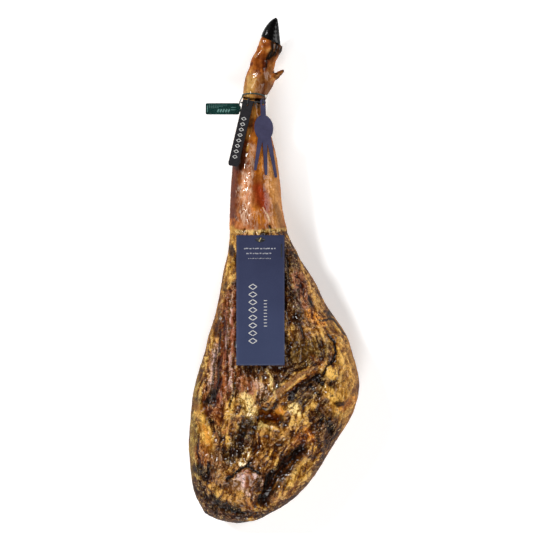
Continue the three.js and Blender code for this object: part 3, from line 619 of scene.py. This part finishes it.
class Finish:
    """A material being made. Each call adds one node, or a few, and gives back the last one's output."""

    def __init__(self, name):
        self.material = bpy.data.materials.new(name)
        self.material.use_nodes = True
        self.tree = self.material.node_tree
        self.shader = self.tree.nodes["Principled BSDF"]
        self.place = self.tree.nodes.new("ShaderNodeTexCoord").outputs["Object"]

    def node(self, kind, inputs=(), **settings):
        made = self.tree.nodes.new(kind)
        for key, value in settings.items():
            setattr(made, key, value)
        for key, value in dict(inputs).items():
            self.put(made.inputs[key], value)
        return made

    def put(self, socket, value):
        if isinstance(value, bpy.types.NodeSocket):
            self.tree.links.new(value, socket)
        elif socket.type == "RGBA":
            socket.default_value = [*linear(value), 1.0]
        else:
            socket.default_value = value

    def stretched(self, scale, turn=0.0, way="POINT"):
        """The place on the piece, turned by degrees and scaled along each axis."""
        inputs = {"Vector": self.place, "Scale": scale, "Rotation": (0, 0, math.radians(turn))}
        return self.node("ShaderNodeMapping", inputs, vector_type=way).outputs["Vector"]

    def mottle(self, size, detail=4.0, roughness=0.55, warp=0.0, place=None):
        """Soft noise of about 0 to 1, with patches of the size in millimetres."""
        inputs = {
            "Vector": place or self.place,
            "Scale": 1 / (size * MM),
            "Detail": detail,
            "Roughness": roughness,
            "Distortion": warp,
        }
        return self.node("ShaderNodeTexNoise", inputs).outputs["Fac"]

    def vein(self, size, width, turn=0.0, scale=(1, 1, 1)):
        """Crooked thin lines, 1 in their middle and 0 off them, the size apart in millimetres."""
        waves = self.mottle(size, 2.0, 0.5, 1.0, self.stretched(scale, turn))
        off = self.math("ABSOLUTE", self.math("SUBTRACT", waves, 0.5))
        return self.between(off, 0.0, width, 1.0, 0.0)

    def fibres(self, size, length):
        """Noise drawn out along the painted grain: four directions of it, each where it fits best."""
        total = 0.0
        for turn, axis, sign in FIBRE_RUNS:
            drawn_out = self.stretched((length, 1, 1), turn, "TEXTURE")
            fit = self.math("MAXIMUM", self.times(self.painted(axis), sign), 0.0)
            lines = self.mottle(size, 4, 0.62, 0.35, drawn_out)
            total = self.plus(self.times(self.math("POWER", fit, 2.0), lines), total)
        return total

    def painted(self, name):
        """What is painted on the mesh under a name: a colour if the name says so, or else a value."""
        made = self.node("ShaderNodeAttribute", attribute_name=name)
        return made.outputs["Color"] if name.endswith("colour") else made.outputs["Fac"]

    def between(self, value, low, high, to_low=0.0, to_high=1.0):
        inputs = {"Value": value, "From Min": low, "From Max": high, "To Min": to_low, "To Max": to_high}
        return self.node("ShaderNodeMapRange", inputs, interpolation_type="SMOOTHSTEP").outputs["Result"]

    def math(self, operation, a, b=0.0):
        made = self.node("ShaderNodeMath", operation=operation)
        self.put(made.inputs[0], a)
        self.put(made.inputs[1], b)
        return made.outputs[0]

    def plus(self, a, b):
        return self.math("ADD", a, b)

    def times(self, a, b):
        return self.math("MULTIPLY", a, b)

    def blend(self, share, a, b, way="MIX"):
        made = self.node("ShaderNodeMix", data_type="RGBA", blend_type=way)
        self.put(made.inputs["Factor"], share)
        self.put(made.inputs["A"], a)
        self.put(made.inputs["B"], b)
        return made.outputs["Result"]

    def lit(self, colour, shade):
        """The colour made lighter or darker: shade is in photographic stops. What is dark is also redder."""
        lighter = self.math("MAXIMUM", shade, 0.0)
        darker = self.math("MINIMUM", shade, 0.0)
        factors = []
        for rise, fall in ((0.93, 0.93), (1.17, 1.35), (1.7, 2.5)):
            stops = self.plus(self.times(lighter, rise), self.times(darker, fall))
            factors.append(self.math("POWER", 2.0, stops))
        factor = self.node("ShaderNodeCombineXYZ", dict(zip("XYZ", factors))).outputs[0]
        return self.blend(1.0, colour, factor, "MULTIPLY")

    def bump(self, height, depth, under=None):
        """Relief of a depth in millimetres, over the relief under it."""
        inputs = {"Height": height, "Distance": depth * MM, "Strength": 1.0}
        if under:
            inputs["Normal"] = under
        return self.node("ShaderNodeBump", inputs).outputs["Normal"]

    def done(self, colour, roughness, normal=None, **constants):
        self.put(self.shader.inputs["Base Color"], colour)
        self.put(self.shader.inputs["Roughness"], roughness)
        if normal:
            self.put(self.shader.inputs["Normal"], normal)
        for key, value in constants.items():
            self.shader.inputs[key.replace("_", " ")].default_value = value
        return self.material


def cured_meat():
    """Skin, fat and dried flesh: the painted colour with its painted light and shade, broken up by crumbs and
    pits, under a film of grease.
    """
    f = Finish("cured meat")
    crust = f.painted("crust")
    crumbs = f.mottle(3.4, 6, 0.62, 0.6)
    grit = f.mottle(1.5, 3, 0.6, 0.3)
    fibres = f.fibres(2.6, 5.0)
    fine = 0.0
    for texture, stops in ((crumbs, 4.8), (fibres, 6.6), (grit, 4.4)):
        fine = f.plus(f.times(f.math("SUBTRACT", texture, 0.5), stops), fine)
    fine = f.times(fine, f.math("SUBTRACT", 1.0, f.times(f.painted("smooth"), 0.7)))
    contrast = f.plus(f.times(crust, 0.8), 0.2)
    shade = f.math("MINIMUM", f.times(f.plus(fine, f.painted("shade")), contrast), 1.0)

    # patches of rust and straw, painted light and shade, and pale painted highlights on the crests of the
    # crumbs
    hue = f.mottle(8, 4, 0.6, 0.5)
    colour = f.painted("meat_colour")
    for tone, low, high in (("rust", 0.55, 0.75), ("straw", 0.45, 0.28)):
        colour = f.blend(f.times(f.between(hue, low, high, 0.0, 0.45), crust), colour, TONES[tone])
    colour = f.lit(colour, shade)
    tip_highlights = f.times(f.between(fine, 0.5, 1.5, 0.0, 0.45), crust)
    colour = f.blend(f.times(tip_highlights, f.between(shade, -0.6, 0.6)), colour, TIP_HIGHLIGHT)

    # small creases and pits of the crust painted black as the shade in them, and pale painted highlights on
    # the crinkles of crumpled skin
    pits = f.between(f.mottle(2.8, 3, 0.6, 0.8, f.stretched((1, 1, 1), 20)), 0.58, 0.64)
    for dark, cover in ((f.vein(15, 0.022), 0.75), (pits, 0.85)):
        colour = f.blend(f.times(dark, f.times(crust, cover)), colour, TONES["black"])
    crinkles = f.math("MAXIMUM", f.vein(11, 0.07, 0, (1, 0.25, 1)), f.vein(7, 0.06, 12, (1, 0.45, 1)))
    crinkles = f.times(crinkles, f.painted("crinkles_and_glints"))
    colour = f.blend(f.times(crinkles, 0.62), colour, CRINKLE_HIGHLIGHT)

    wrinkles = f.mottle(3.0, 4, 0.6, 0.8, f.stretched((1, 0.3, 1), 4))
    normal = f.bump(crinkles, 0.6, f.bump(wrinkles, 1.0))
    normal = f.bump(f.times(f.plus(crumbs, fibres), f.plus(crust, 0.1)), 1.2, normal)
    roughness = f.between(f.mottle(7, 4), 0.35, 0.65, 0.35, 0.6)
    grease = {"Coat_Weight": 0.16, "Coat_IOR": 2.0, "Coat_Roughness": 0.1}
    return f.done(colour, roughness, normal, Specular_IOR_Level=0.0, **grease)


def horn():
    """Black horn with faint growth rings and scuffs along it."""
    f = Finish("black horn")
    dark, light, scuffed = HORN_TONES
    rings = f.mottle(2.2, 3, 0.5, 0.3, f.stretched((0.25, 1.4, 0.3), -14))
    scuffs = f.mottle(1.6, 4, 0.7, 0.5, f.stretched((1, 0.2, 1), -14))
    colour = f.blend(f.between(rings, 0.5, 0.8), dark, light)
    colour = f.blend(f.between(scuffs, 0.66, 0.8, 0, 0.2), colour, scuffed)
    normal = f.bump(scuffs, 0.2, f.bump(rings, 0.5))
    rough = f.between(scuffs, 0.4, 0.7, 0.22, 0.5)
    gloss = {"Coat_Weight": 0.14, "Coat_IOR": 2.0, "Coat_Roughness": 0.06}
    return f.done(colour, rough, normal, Specular_IOR_Level=0.03, **gloss)


def leather():
    """Charcoal leather with a fine pebbled grain and soft wear."""
    f = Finish("charcoal leather")
    dark, worn, between_pebbles = LEATHER_TONES
    cells = f.node("ShaderNodeTexVoronoi", {"Vector": f.place, "Scale": 1100.0, "Randomness": 0.9})
    grain = f.between(cells.outputs["Distance"], 0.0, 0.75)
    wear = f.mottle(9, 4, 0.6, 0.4)
    colour = f.blend(f.between(wear, 0.35, 0.7), dark, worn)
    colour = f.blend(f.between(grain, 0.4, 1.0, 0, 0.35), colour, between_pebbles)
    normal = f.bump(f.math("SUBTRACT", 1.0, grain), 0.25, f.bump(wear, 0.3))
    return f.done(colour, f.between(wear, 0.3, 0.7, 0.5, 0.68), normal, Specular_IOR_Level=0.15)


def board():
    """Slate blue board, matt, with the fibres of its paper."""
    f = Finish("slate blue board")
    dark, light, fibre = BOARD_TONES
    fibres = f.mottle(0.9, 3, 0.6, 0.2, f.stretched((1, 0.25, 1), 25))
    colour = f.blend(f.between(f.mottle(16, 3), 0.3, 0.7), dark, light)
    colour = f.blend(f.between(fibres, 0.5, 0.8, 0, 0.35), colour, fibre)
    rough = f.between(fibres, 0.3, 0.7, 0.45, 0.6)
    return f.done(colour, rough, f.bump(fibres, 0.12), Specular_IOR_Level=0.15)


def card():
    """Navy card, painted a little lighter towards its lower end, as the light falls on it."""
    f = Finish("navy card")
    low_end, high_end, cloud, fibre = CARD_TONES
    fibres = f.mottle(0.8, 3, 0.6, 0.2, f.stretched((1, 0.4, 1), 8))
    along = f.node("ShaderNodeSeparateXYZ", {"Vector": f.place}).outputs["Y"]
    # painted light: lighter towards the lower end
    colour = f.blend(f.between(along, -0.155, 0.06), low_end, high_end)
    colour = f.blend(f.between(f.mottle(60, 3, 0.5), 0.3, 0.7, 0.0, 0.25), colour, cloud)
    colour = f.blend(f.between(fibres, 0.5, 0.85, 0, 0.3), colour, fibre)
    rough = f.between(fibres, 0.3, 0.7, 0.38, 0.52)
    return f.done(colour, rough, f.bump(fibres, 0.08), Specular_IOR_Level=0.2)


def ink(name, colour, roughness=0.5):
    """Print, a little worn where the fibres of the card rise."""
    f = Finish(name)
    worn = f.mottle(0.9, 4, 0.7)
    paler = tuple(min(255, c + 10) for c in colour)
    darker = tuple(c * 0.84 for c in colour)
    tone = f.blend(f.between(worn, 0.35, 0.65), darker, paler)
    return f.done(tone, f.between(worn, 0.3, 0.7, roughness - 0.08, roughness + 0.08), f.bump(worn, 0.04))


def plastic(name, tones, roughness):
    """Moulded plastic with faint flow marks and a film of grease."""
    f = Finish(name)
    flow = f.mottle(7, 4, 0.6, 0.8, f.stretched((0.3, 1, 1), 6))
    film = f.mottle(1.8, 4, 0.65)
    tone = f.blend(f.between(flow, 0.3, 0.7), *tones)
    rough = f.between(film, 0.35, 0.7, roughness, roughness + 0.2)
    return f.done(tone, rough, f.bump(film, 0.1, f.bump(flow, 0.25)), Coat_Weight=0.1, Coat_Roughness=0.2)


def waxed_cord():
    """Black cord, twisted, waxed and slightly fluffy."""
    f = Finish("waxed cord")
    bands = {"Vector": f.place, "Scale": 420.0, "Distortion": 1.5}
    twist = f.node("ShaderNodeTexWave", bands, bands_direction="DIAGONAL").outputs["Fac"]
    fluff = f.mottle(0.5, 3)
    colour = f.blend(twist, *CORD_TONES)
    normal = f.bump(fluff, 0.1, f.bump(twist, 0.3))
    return f.done(colour, f.between(fluff, 0.3, 0.7, 0.55, 0.75), normal, Sheen_Weight=0.15)


def brass():
    f = Finish("dull brass")
    dull = f.mottle(1.2, 4, 0.6)
    colour = f.blend(f.between(dull, 0.35, 0.65), *BRASS_TONES)
    rough = f.between(dull, 0.3, 0.7, 0.28, 0.42)
    return f.done(colour, rough, f.bump(dull, 0.05), Metallic=1.0)


# The ham

def grain_angle(grid_x, grid_y):
    """The angle of the strands at each place of the grid: along the routes of the grain, swaying a little."""
    run_x, run_y = np.zeros(grid_x.shape), np.zeros(grid_x.shape)
    for route in GRAIN:
        places = [spot(p) for p in route]
        for (ax, ay), (bx, by) in zip(places, places[1:]):
            length = math.hypot(bx - ax, by - ay)
            t = np.clip(((grid_x - ax) * (bx - ax) + (grid_y - ay) * (by - ay)) / length**2, 0, 1)
            off_x, off_y = grid_x - ax - t * (bx - ax), grid_y - ay - t * (by - ay)
            near = 1 / (30 + off_x**2 + off_y**2) ** 1.5
            run_x += near * (bx - ax) / length
            run_y += near * (by - ay) / length
    places = np.column_stack([grid_x.ravel() / 24, grid_y.ravel() / 24, np.zeros(grid_x.size)])
    sway = np.array([noise.noise(p) for p in places.tolist()]).reshape(grid_x.shape)
    return np.arctan2(run_y, run_x) + 0.75 * sway


def cells_of(values, lowest, count):
    """Which cells of the grid the values lie in, along one axis."""
    return np.clip(np.rint(values - lowest).astype(int), 0, count - 1)


def streaks(width, run_x, run_y):
    """Grey noise drawn out into streaks of a width in cells, along the way that run_x and run_y give."""
    grey = np.random.default_rng(7).normal(size=run_x.shape)
    for _ in range(width):
        for axis in (0, 1):
            grey = (np.roll(grey, 1, axis) + 2 * grey + np.roll(grey, -1, axis)) / 4
    total = np.zeros(run_x.shape)
    reach = 6 + 4 * width
    for side in (-1, 1):
        place_x = np.arange(GRID_WIDE) + np.zeros((GRID_TALL, 1))
        place_y = np.arange(GRID_TALL)[:, None] + np.zeros((1, GRID_WIDE))
        for step in range(reach):
            jx, jy = cells_of(place_x, 0, GRID_WIDE), cells_of(place_y, 0, GRID_TALL)
            total += math.cos(step / reach * math.pi / 2) * grey[jy, jx]
            place_x = place_x + side * run_x[jy, jx]
            place_y = place_y + side * run_y[jy, jx]
    return even(total)


def strands(x, y, widths):
    """For each width, values at the points in such streaks along the grain, and last the grain's angle."""
    grid_x, grid_y = np.meshgrid(np.arange(GRID_WIDE) + GRID_X, np.arange(GRID_TALL) + GRID_Y)
    angle = grain_angle(grid_x, grid_y)
    ix, iy = cells_of(x, GRID_X, GRID_WIDE), cells_of(y, GRID_Y, GRID_TALL)
    found = [streaks(width, np.cos(angle), np.sin(angle))[iy, ix] for width in widths]
    return *found, angle[iy, ix]


def keep_clear(points, node):
    """Lowers the points under a node until they are clear of it."""
    bm = bmesh.new()
    bm.from_mesh(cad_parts[node].data)
    tree = BVHTree.FromBMesh(bm)
    bm.free()
    low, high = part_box(node)
    margin, depth = 2.0, 20
    under = points[:, 2] > low.z / MM - depth
    for axis in (0, 1):
        under &= points[:, axis] > low[axis] / MM - margin
        under &= points[:, axis] < high[axis] / MM + margin
    for i in np.flatnonzero(under):
        start = Vector(points[i]) * MM
        start.z = low.z - 0.05
        hit = tree.ray_cast(start, Vector((0, 0, 1)))[0]
        if hit is not None:
            points[i, 2] = min(points[i, 2], hit.z / MM - CLEARANCE)


def carving(x, y, broken):
    """Height in millimetres of the knife's marks and of the long folds, which give out where broken is 0."""
    carved = np.zeros(len(x))
    for height, width, route in CUTS:
        carved += height * crest(x, y, width, route)
    for count, height, width, first, last in FURROWS:
        for i in range(count):
            share = i / (count - 1)
            pairs = zip(first, last)
            route = [(a[0] + (b[0] - a[0]) * share, a[1] + (b[1] - a[1]) * share) for a, b in pairs]
            carved += (height if i % 2 else -height) * crest(x, y, width, route) * broken
    return carved


def with_marks(colour, points, stray, crumbs, from_above):
    """The colours with every mark laid over them, and how many stops lighter the marks make the texture."""
    weight = np.zeros(len(points))
    for marks, soft, warped in ((SKIN_MARKS, 0.6, 0.5), (FACE_MARKS, 0.3, 0.75), (FINE_MARKS, 0.2, 0.3)):
        place = points + warped * stray
        for tone, cover, width, route in marks:
            away = distance(place[:, 0], place[:, 1], route) / (width * PIXEL) + 0.12 * warped * crumbs
            share = cover * (1 - ease(away, 1 - 1.3 * soft, 1 + 1.3 * soft)) * from_above
            colour = colour + (np.array(linear(TONES[tone])) - colour) * share[:, None]
            weight = weight + (WEIGHTS.get(tone, 0.0) - weight) * share
    return colour, weight


def make_ham():
    mesh = refined("ham", "ham", grain=1.75, smoothing=14)
    _, normals = corners(mesh)
    mesh = thinned(mesh, normals[:, 2] < -0.1, 0.66)
    points, normals = corners(mesh)
    x, y, _ = points.T
    up = ease(normals[:, 2], 0.02, 0.5)
    crooked = bent(bent(points, 26, 5.5), 8, 2.5, 5.0)
    stray = crooked - points
    wobble = rough_noise(points, 14, 3)
    edge = SKIN_EDGE + 1.2 * wobble - 90 * ease(-normals[:, 2], 0.1, 1.0)
    skin = ease(y - edge, -0.8, 0.8)
    rind = ease(-normals[:, 2] + 0.08 * wobble, 0.05, 0.4)
    crust = (1 - skin) * (1 - rind)
    strand, fine_strand, lie = strands(x, y, (4, 1))
    strand, fine_strand = strand * up, fine_strand * up

    # relief of the trimmed face: crags, lumps, strands, folds and the marks of the knife
    flat_x, flat_y, _ = (points + 0.75 * stray).T
    smooth = covered(flat_x, flat_y, SMOOTH, 0.6, 1.4)
    folds = ridges(crooked, 26)
    crags = ridges(crooked, 12, 3.0)
    knobs = lumps(crooked, 7.5)
    crumbs = rough_noise(crooked, 5.5, 4, shift=9.0)
    rise = 0.7 * folds + (1 - smooth) * (0.4 * crags + 0.3 * knobs + 0.25 * crumbs)
    rise += (1 - 0.6 * smooth) * (0.55 * strand + 0.25 * fine_strand)
    carved = carving(flat_x, flat_y, ease(wobble, -1.3, 0.5)) * up
    rise = rise * crust * (0.3 + 0.7 * up) + carved

    # relief of the skin, which ends in a raised edge, and of the rind
    rise += 0.9 * (skin - ease(y - edge, -14, 0)) * (1 - rind)
    veins = rough_noise(points, 9, 3, shift=2.0)
    wrinkles = rough_noise(points, 3.5, 3, (1, 0.35, 1))
    crinkles = ridges(points * (1, 0.55, 1), 6.5)
    rise += (1 - crust) * (0.12 * veins + 0.1 * wrinkles) + 0.16 * skin * crinkles
    rise *= np.where(rise > 0, ease(np.abs(y - TIED_Y), 10, 16), 1)
    # smoothing has thinned the dewclaws, so they get their stoutness back
    rise += 1.4 * (1 - ease(distance(x, y, DEWCLAW) / PIXEL, 1.5, 5.0))
    points = points + normals * rise[:, None]
    points[:, 0] += HEEL_LEAN * np.exp(-((y - HEEL_Y) / HEEL_REACH) ** 2)
    points[:, 2] = np.maximum(points[:, 2], 0)
    for node in ("label", "leather_tag", "tail_tag", "cord", "seal"):
        keep_clear(points, node)
    move_corners(mesh, points)

    # colour
    patches = 0.7 * rough_noise(crooked, 20, 4, shift=20.0) + 0.35 * crumbs + 0.4 * strand
    trimmed = ramp(patches, ["char", "umber", "brown", "ochre", "gold"])
    hide = ramp(0.6 * veins + 0.6 * wobble + 0.3 * wrinkles, ["maroon", "rust", "skin", "skin", "tan"])
    back = ramp(rough_noise(points, 40, 3) + 0.5 * veins, ["brown", "ochre", "ochre", "gold"])
    colour = trimmed * (1 - skin[:, None]) + hide * skin[:, None]
    colour = colour * (1 - rind[:, None]) + back * rind[:, None]
    from_above = ease(normals[:, 2], -0.25, 0.15)
    colour, weight = with_marks(colour, points, stray, crumbs, from_above)
    paint(mesh, "meat_colour", colour)

    # painted light and shade of the texture: lighter where the relief rises and darker in folds, cuts and on
    # the steep sides; and where the material is crusty, smooth, or crumpled into crinkles with painted
    # highlights
    rough = 0.45 * crags + 0.35 * knobs + 0.35 * rough_noise(crooked, 9, 4)
    streak = 0.32 * strand + 0.35 * fine_strand - 0.9 * ease(-strand, 1.2, 2.0)
    shade = 0.35 * folds + (1 - 0.85 * smooth) * 0.9 * rough
    shade = shade + (1 - 0.75 * smooth) * streak + 0.6 * carved
    # painted shade: the steep sides of the trimmed face darker as they turn away from above
    flank_shade = (1 - ease(normals[:, 2], 0.0, 0.5)) * (1 - skin)
    crinkles_and_glints = covered(points[:, 0], points[:, 1], CRINKLE_GLINT_AREAS, 0.4, 1.4, 0.25 * wobble)
    paint(mesh, "shade", 1.15 * shade - 0.13 + weight * crust - 1.05 * flank_shade)
    paint(mesh, "crust", crust)
    paint(mesh, "smooth", smooth)
    paint(mesh, "crinkles_and_glints", crinkles_and_glints * skin * from_above)
    paint(mesh, "grain_x", np.cos(2 * lie))
    paint(mesh, "grain_y", np.sin(2 * lie))
    shown("ham_flesh", mesh, cured_meat(), "cured_ham", "ham")


# Horn, cord, tags and seal

def growth_rings(points):
    """Height of the horn's rings, which lie across its length, and of its small chips."""
    along = points[:, 1] + 0.48 * points[:, 0]
    rings = 0.07 * np.sin(along / 1.1 + 1.5 * rough_noise(points, 12, 2))
    return rings + 0.04 * rough_noise(points, 2.5, 3)


def make_claw(node):
    name = node + "_horn"
    mesh = roughened(refined(node, name, grain=0.6, smoothing=6), growth_rings)
    shown(name, mesh, HORN, "black_horn", node)


def make_cord():
    mesh = refined("cord", "cord", grain=0.28, smoothing=3)
    roughened(mesh, lambda points: 0.08 * rough_noise(points, 1.0, 2))
    shown("ankle_cord", mesh, waxed_cord(), "black_cord", "cord")


def place_of(node, lie):
    """The matrix that places a flat node's own frame: turned as the solid is, its origin at its top edge."""
    around_x, around_y, around_z = [Matrix.Rotation(math.radians(a), 3, n) for a, n in zip(lie, "XYZ")]
    turn = around_z @ around_x @ around_y
    own = np.array([v.co[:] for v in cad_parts[node].data.vertices]) @ np.array(turn)
    low, high = own.min(0), own.max(0)
    origin = Vector(((low[0] + high[0]) / 2, high[1], (low[2] + high[2]) / 2))
    return Matrix.Translation(turn @ origin) @ turn.to_4x4()


def bar(bm, width, length, centre, turn=0.0, rounding=0.0):
    """Adds a printed bar in millimetres, with its upright corners rounded."""
    made = bmesh.ops.create_cube(bm, size=1.0)["verts"]
    bmesh.ops.scale(bm, vec=(width, length, PRINT), verts=made)
    if rounding:
        edges = dict.fromkeys(e for v in made for e in v.link_edges)
        upright = [e for e in edges if abs(e.verts[0].co.z - e.verts[1].co.z) > PRINT / 2]
        rounded = bmesh.ops.bevel(
            bm, geom=upright, offset=rounding, segments=4, profile=0.5, affect="EDGES", material=-1
        )
        kept = [v for v in made if v.is_valid]
        made = list(dict.fromkeys(rounded["verts"] + kept))
    spin = Matrix.Translation(centre) @ Matrix.Rotation(math.radians(turn), 4, "Z")
    bmesh.ops.transform(bm, matrix=spin, verts=made)


def diamond(bm, width, length, line, centre):
    """Adds the outline of a diamond as four thin bars."""
    half_w, half_l = width / 2, length / 2
    side = math.hypot(half_w, half_l)
    lean = math.degrees(math.atan2(half_l, half_w))
    for sx in (-1, 1):
        for sy in (-1, 1):
            middle = Vector(centre) + Vector((sx * half_w / 2, sy * half_l / 2, 0))
            bar(bm, side, line, middle, -lean * sx * sy)


def printed(name, bm, place, material, slot, *nodes):
    """Places marks, modelled flat in millimetres, on the tag that carries them."""
    bmesh.ops.transform(bm, matrix=place @ Matrix.Scale(MM, 4), verts=bm.verts)
    bmesh.ops.recalc_face_normals(bm, faces=bm.faces)
    shown(name, mesh_of(bm, name), material, slot, *nodes)


def make_leather_tag():
    mesh = refined("leather_tag", "leather_tag", grain=0.5, smoothing=3)
    roughened(mesh, lambda points: 0.06 * rough_noise(points, 1.6, 2))
    shown("leather_tag_strip", mesh, leather(), "charcoal_leather", "leather_tag")
    marks = bmesh.new()
    for i in range(LEATHER_MARKS):
        diamond(marks, 8.4, 5.4, 0.9, (0, -32 - 9.2 * i, 1.1))
    place = place_of("leather_tag", LEATHER_LIE)
    printed("leather_tag_print", marks, place, WHITE_INK, "charcoal_leather")


def make_tail_tag():
    mesh = refined("tail_tag", "tail_tag", grain=0.5, smoothing=3)
    shown("tail_tag_board", mesh, board(), "blue_board", "tail_tag")


def make_seal():
    mesh = refined("seal", "seal", grain=0.4, smoothing=3)
    shown("seal_body", mesh, plastic("green plastic", GREEN_TONES, 0.22), "green_plastic", "seal")
    marks = bmesh.new()
    bar(marks, 1.2, 11, (-109.2, 265.2, SEAL_TOP))
    for row in range(3):
        for i in range(9 - 2 * row):
            bar(marks, 2.1, 0.7, (-105.6 + 3.4 * i, 271.4 - 2.2 * row, SEAL_TOP))
    for i in range(5):
        bar(marks, 2.6, 5.6, (-91.5 + 4.4 * i, 262.2, SEAL_TOP), -28)
    for y in (263.5, 267.5):
        bar(marks, 8, 1.0, (-66.5, y, SEAL_TOP))
    printed("seal_print", marks, Matrix.Identity(4), ink("seal print", SEAL_PRINT), "green_plastic")
    clasp = refined("seal_clasp", "strap_clasp", grain=0.3, smoothing=4)
    shown("strap_clasp", clasp, plastic("white plastic", CLASP_TONES, 0.35), "white_plastic", "seal_clasp")


# The card label

def card_lift(x, y):
    """How far the front leaf stands off its flat place at a point of the label, in millimetres."""
    outward = ease(x, -LABEL_WIDTH / 2, LABEL_WIDTH / 2)
    low = ease(-y, 0.45 * LABEL_LENGTH, LABEL_LENGTH)
    return 2.2 * outward * outward * low + 0.25 * np.sin(y / 19) * outward


def lift_onto_card(bm):
    """Raises flat marks onto the label's front leaf."""
    for v in bm.verts:
        v.co.z += CARD_TOP + 0.04 + float(card_lift(v.co.x, v.co.y))


def make_card(place):
    """The folded card: one sheet bent over at its left edge, whose front leaf lifts a little."""
    bm = bmesh.new()
    bmesh.ops.create_grid(bm, x_segments=64, y_segments=60, size=0.5)
    for v in bm.verts:
        run, y = 2 * LABEL_WIDTH * v.co.x, (v.co.y - 0.5) * LABEL_LENGTH
        side = 1 if run > 0 else -1
        x = abs(run) - LABEL_WIDTH / 2
        apart = LEAF_APART * math.sqrt(min(1.0, abs(run) / FOLD))
        bend = float(card_lift(x, y)) if side > 0 else 0.0
        v.co = Vector((x, y, side * apart + bend))
    bmesh.ops.solidify(bm, geom=bm.faces, thickness=LEAF)
    high = max(v.co.z for v in bm.verts if v.co.y > -20)
    bmesh.ops.transform(bm, matrix=Matrix.Translation((0, 0, CARD_TOP - high)), verts=bm.verts)
    printed("label_card", bm, place, card(), "navy_card", "label")


def make_print(place):
    """Rows of dashes and columns of diamonds and bars where the label's print is, and its dark slot."""
    lines = bmesh.new()
    for row, (y, half, dash, height) in enumerate(SMALL_LINES):
        x = -half
        step = 0
        while x < half:
            wide = dash * DASHES[(step + row) % len(DASHES)]
            bar(lines, wide, height, (x - 0.5, y + 0.4 * (step % 2), 0))
            x += wide + 1.3
            step += 1
    marks = bmesh.new()
    for i in range(8):
        diamond(marks, 13.4, 8.6, 1.25, (-12.2, -84.5 - 12.6 * i, 0))
    for i in range(9):
        bar(marks, 5.2, 1.1, (8.2, -107 - 5.2 * i, 0))
    slot = bmesh.new()
    bar(slot, 2.3, 22, (34.4, -25.4, 0), rounding=0.8)
    for name, bm, material in (
        ("label_lines", lines, ink("grey ink", GREY_PRINT)),
        ("label_print", marks, WHITE_INK),
        ("label_slot", slot, ink("dark slot", SLOT_TONE, 0.6)),
    ):
        lift_onto_card(bm)
        printed(name, bm, place, material, "navy_card")


def make_eyelet(place):
    """A lens-shaped eyelet with a bevelled rim, and the small pin in it."""
    half_length, half_width = EYELET_REACH
    inner_height, outer_height, foot_height = EYELET_RIM
    bm = bmesh.new()
    bmesh.ops.create_circle(bm, cap_ends=True, radius=1.0, segments=48)
    bmesh.ops.inset_region(bm, faces=bm.faces[:], thickness=0.16, depth=0.0)
    inner = {v for f in bm.faces if len(f.verts) > 4 for v in f.verts}
    for v in bm.verts:
        x = v.co.x
        pinch = max(1 - 0.72 * abs(x) ** 2.2, 0.05)
        height = inner_height if v in inner else outer_height
        v.co = Vector((x * half_length, v.co.y * half_width * pinch, height))
    foot = bmesh.ops.extrude_edge_only(bm, edges=[e for e in bm.edges if e.is_boundary])["geom"]
    for v in [g for g in foot if isinstance(g, bmesh.types.BMVert)]:
        v.co.z = foot_height
    bmesh.ops.translate(bm, vec=EYELET_PLACE, verts=bm.verts)
    lift_onto_card(bm)
    black = plastic("black eyelet", EYELET_TONES, 0.3)
    printed("eyelet_ring", bm, place, black, "black_eyelet", "label_eyelet")
    pin = refined("label_pin", "eyelet_pin", grain=0.14, smoothing=3)
    shown("eyelet_pin", pin, brass(), "pin_metal", "label_pin")


# Studio

def make_room():
    """A room with bright walls and a dim ceiling."""
    world = bpy.data.worlds.new("white room")
    bpy.context.scene.world = world
    world.use_nodes = True
    nodes, links = world.node_tree.nodes, world.node_tree.links
    place = nodes.new("ShaderNodeTexCoord")
    split = nodes.new("ShaderNodeSeparateXYZ")
    height = nodes.new("ShaderNodeMapRange")
    for key, value in {"From Min": 0.05, "From Max": 0.4, "To Min": 1.0, "To Max": 0.1}.items():
        height.inputs[key].default_value = value
    links.new(place.outputs["Generated"], split.inputs["Vector"])
    links.new(split.outputs["Z"], height.inputs["Value"])
    links.new(height.outputs["Result"], nodes["Background"].inputs["Strength"])
    nodes["Background"].inputs["Color"].default_value = (1, 1, 1, 1)


def make_floor():
    bm = bmesh.new()
    bmesh.ops.create_grid(bm, x_segments=1, y_segments=1, size=40.0)
    floor = placed("floor", mesh_of(bm, "floor"))
    floor.location.z = -0.2 * MM
    f = Finish("white floor")
    white = f.blend(f.mottle(900, 2), (250, 250, 250), (255, 255, 255))
    glow = {"Emission_Color": (1, 1, 1, 1), "Emission_Strength": FLOOR_GLOW}
    floor.data.materials.append(f.done(white, 0.9, **glow))


def make_lights():
    for name, from_side, angle, power in LIGHTS:
        light = bpy.data.lights.new(name, "SUN")
        light.angle = math.radians(angle)
        light.energy = power
        placed(name, light).rotation_euler = Vector(from_side).to_track_quat("Z", "Y").to_euler()


def make_camera():
    """Straight above the ham, as far off as makes the frame cover what the photograph does."""
    camera = bpy.data.cameras.new("camera")
    camera.sensor_width = SENSOR
    camera.lens = LENS
    eye = placed("camera", camera)
    middle = spot((PHOTO_SIZE / 2, PHOTO_SIZE / 2))
    span = PHOTO_SIZE * PIXEL * MM
    eye.location = (middle[0] * MM, middle[1] * MM, span * LENS / SENSOR + SHARP_HEIGHT)
    bpy.context.scene.camera = eye
    bpy.context.scene.view_settings.view_transform = "Standard"


# materials that two pieces share
HORN = horn()
WHITE_INK = ink("white ink", WHITE_PRINT)

make_room()
make_floor()
make_lights()
make_camera()
make_ham()
make_claw("claw_upper")
make_claw("claw_lower")
make_cord()
make_seal()
make_leather_tag()
make_tail_tag()
label_place = place_of("label", LABEL_LIE)
make_card(label_place)
make_print(label_place)
make_eyelet(label_place)
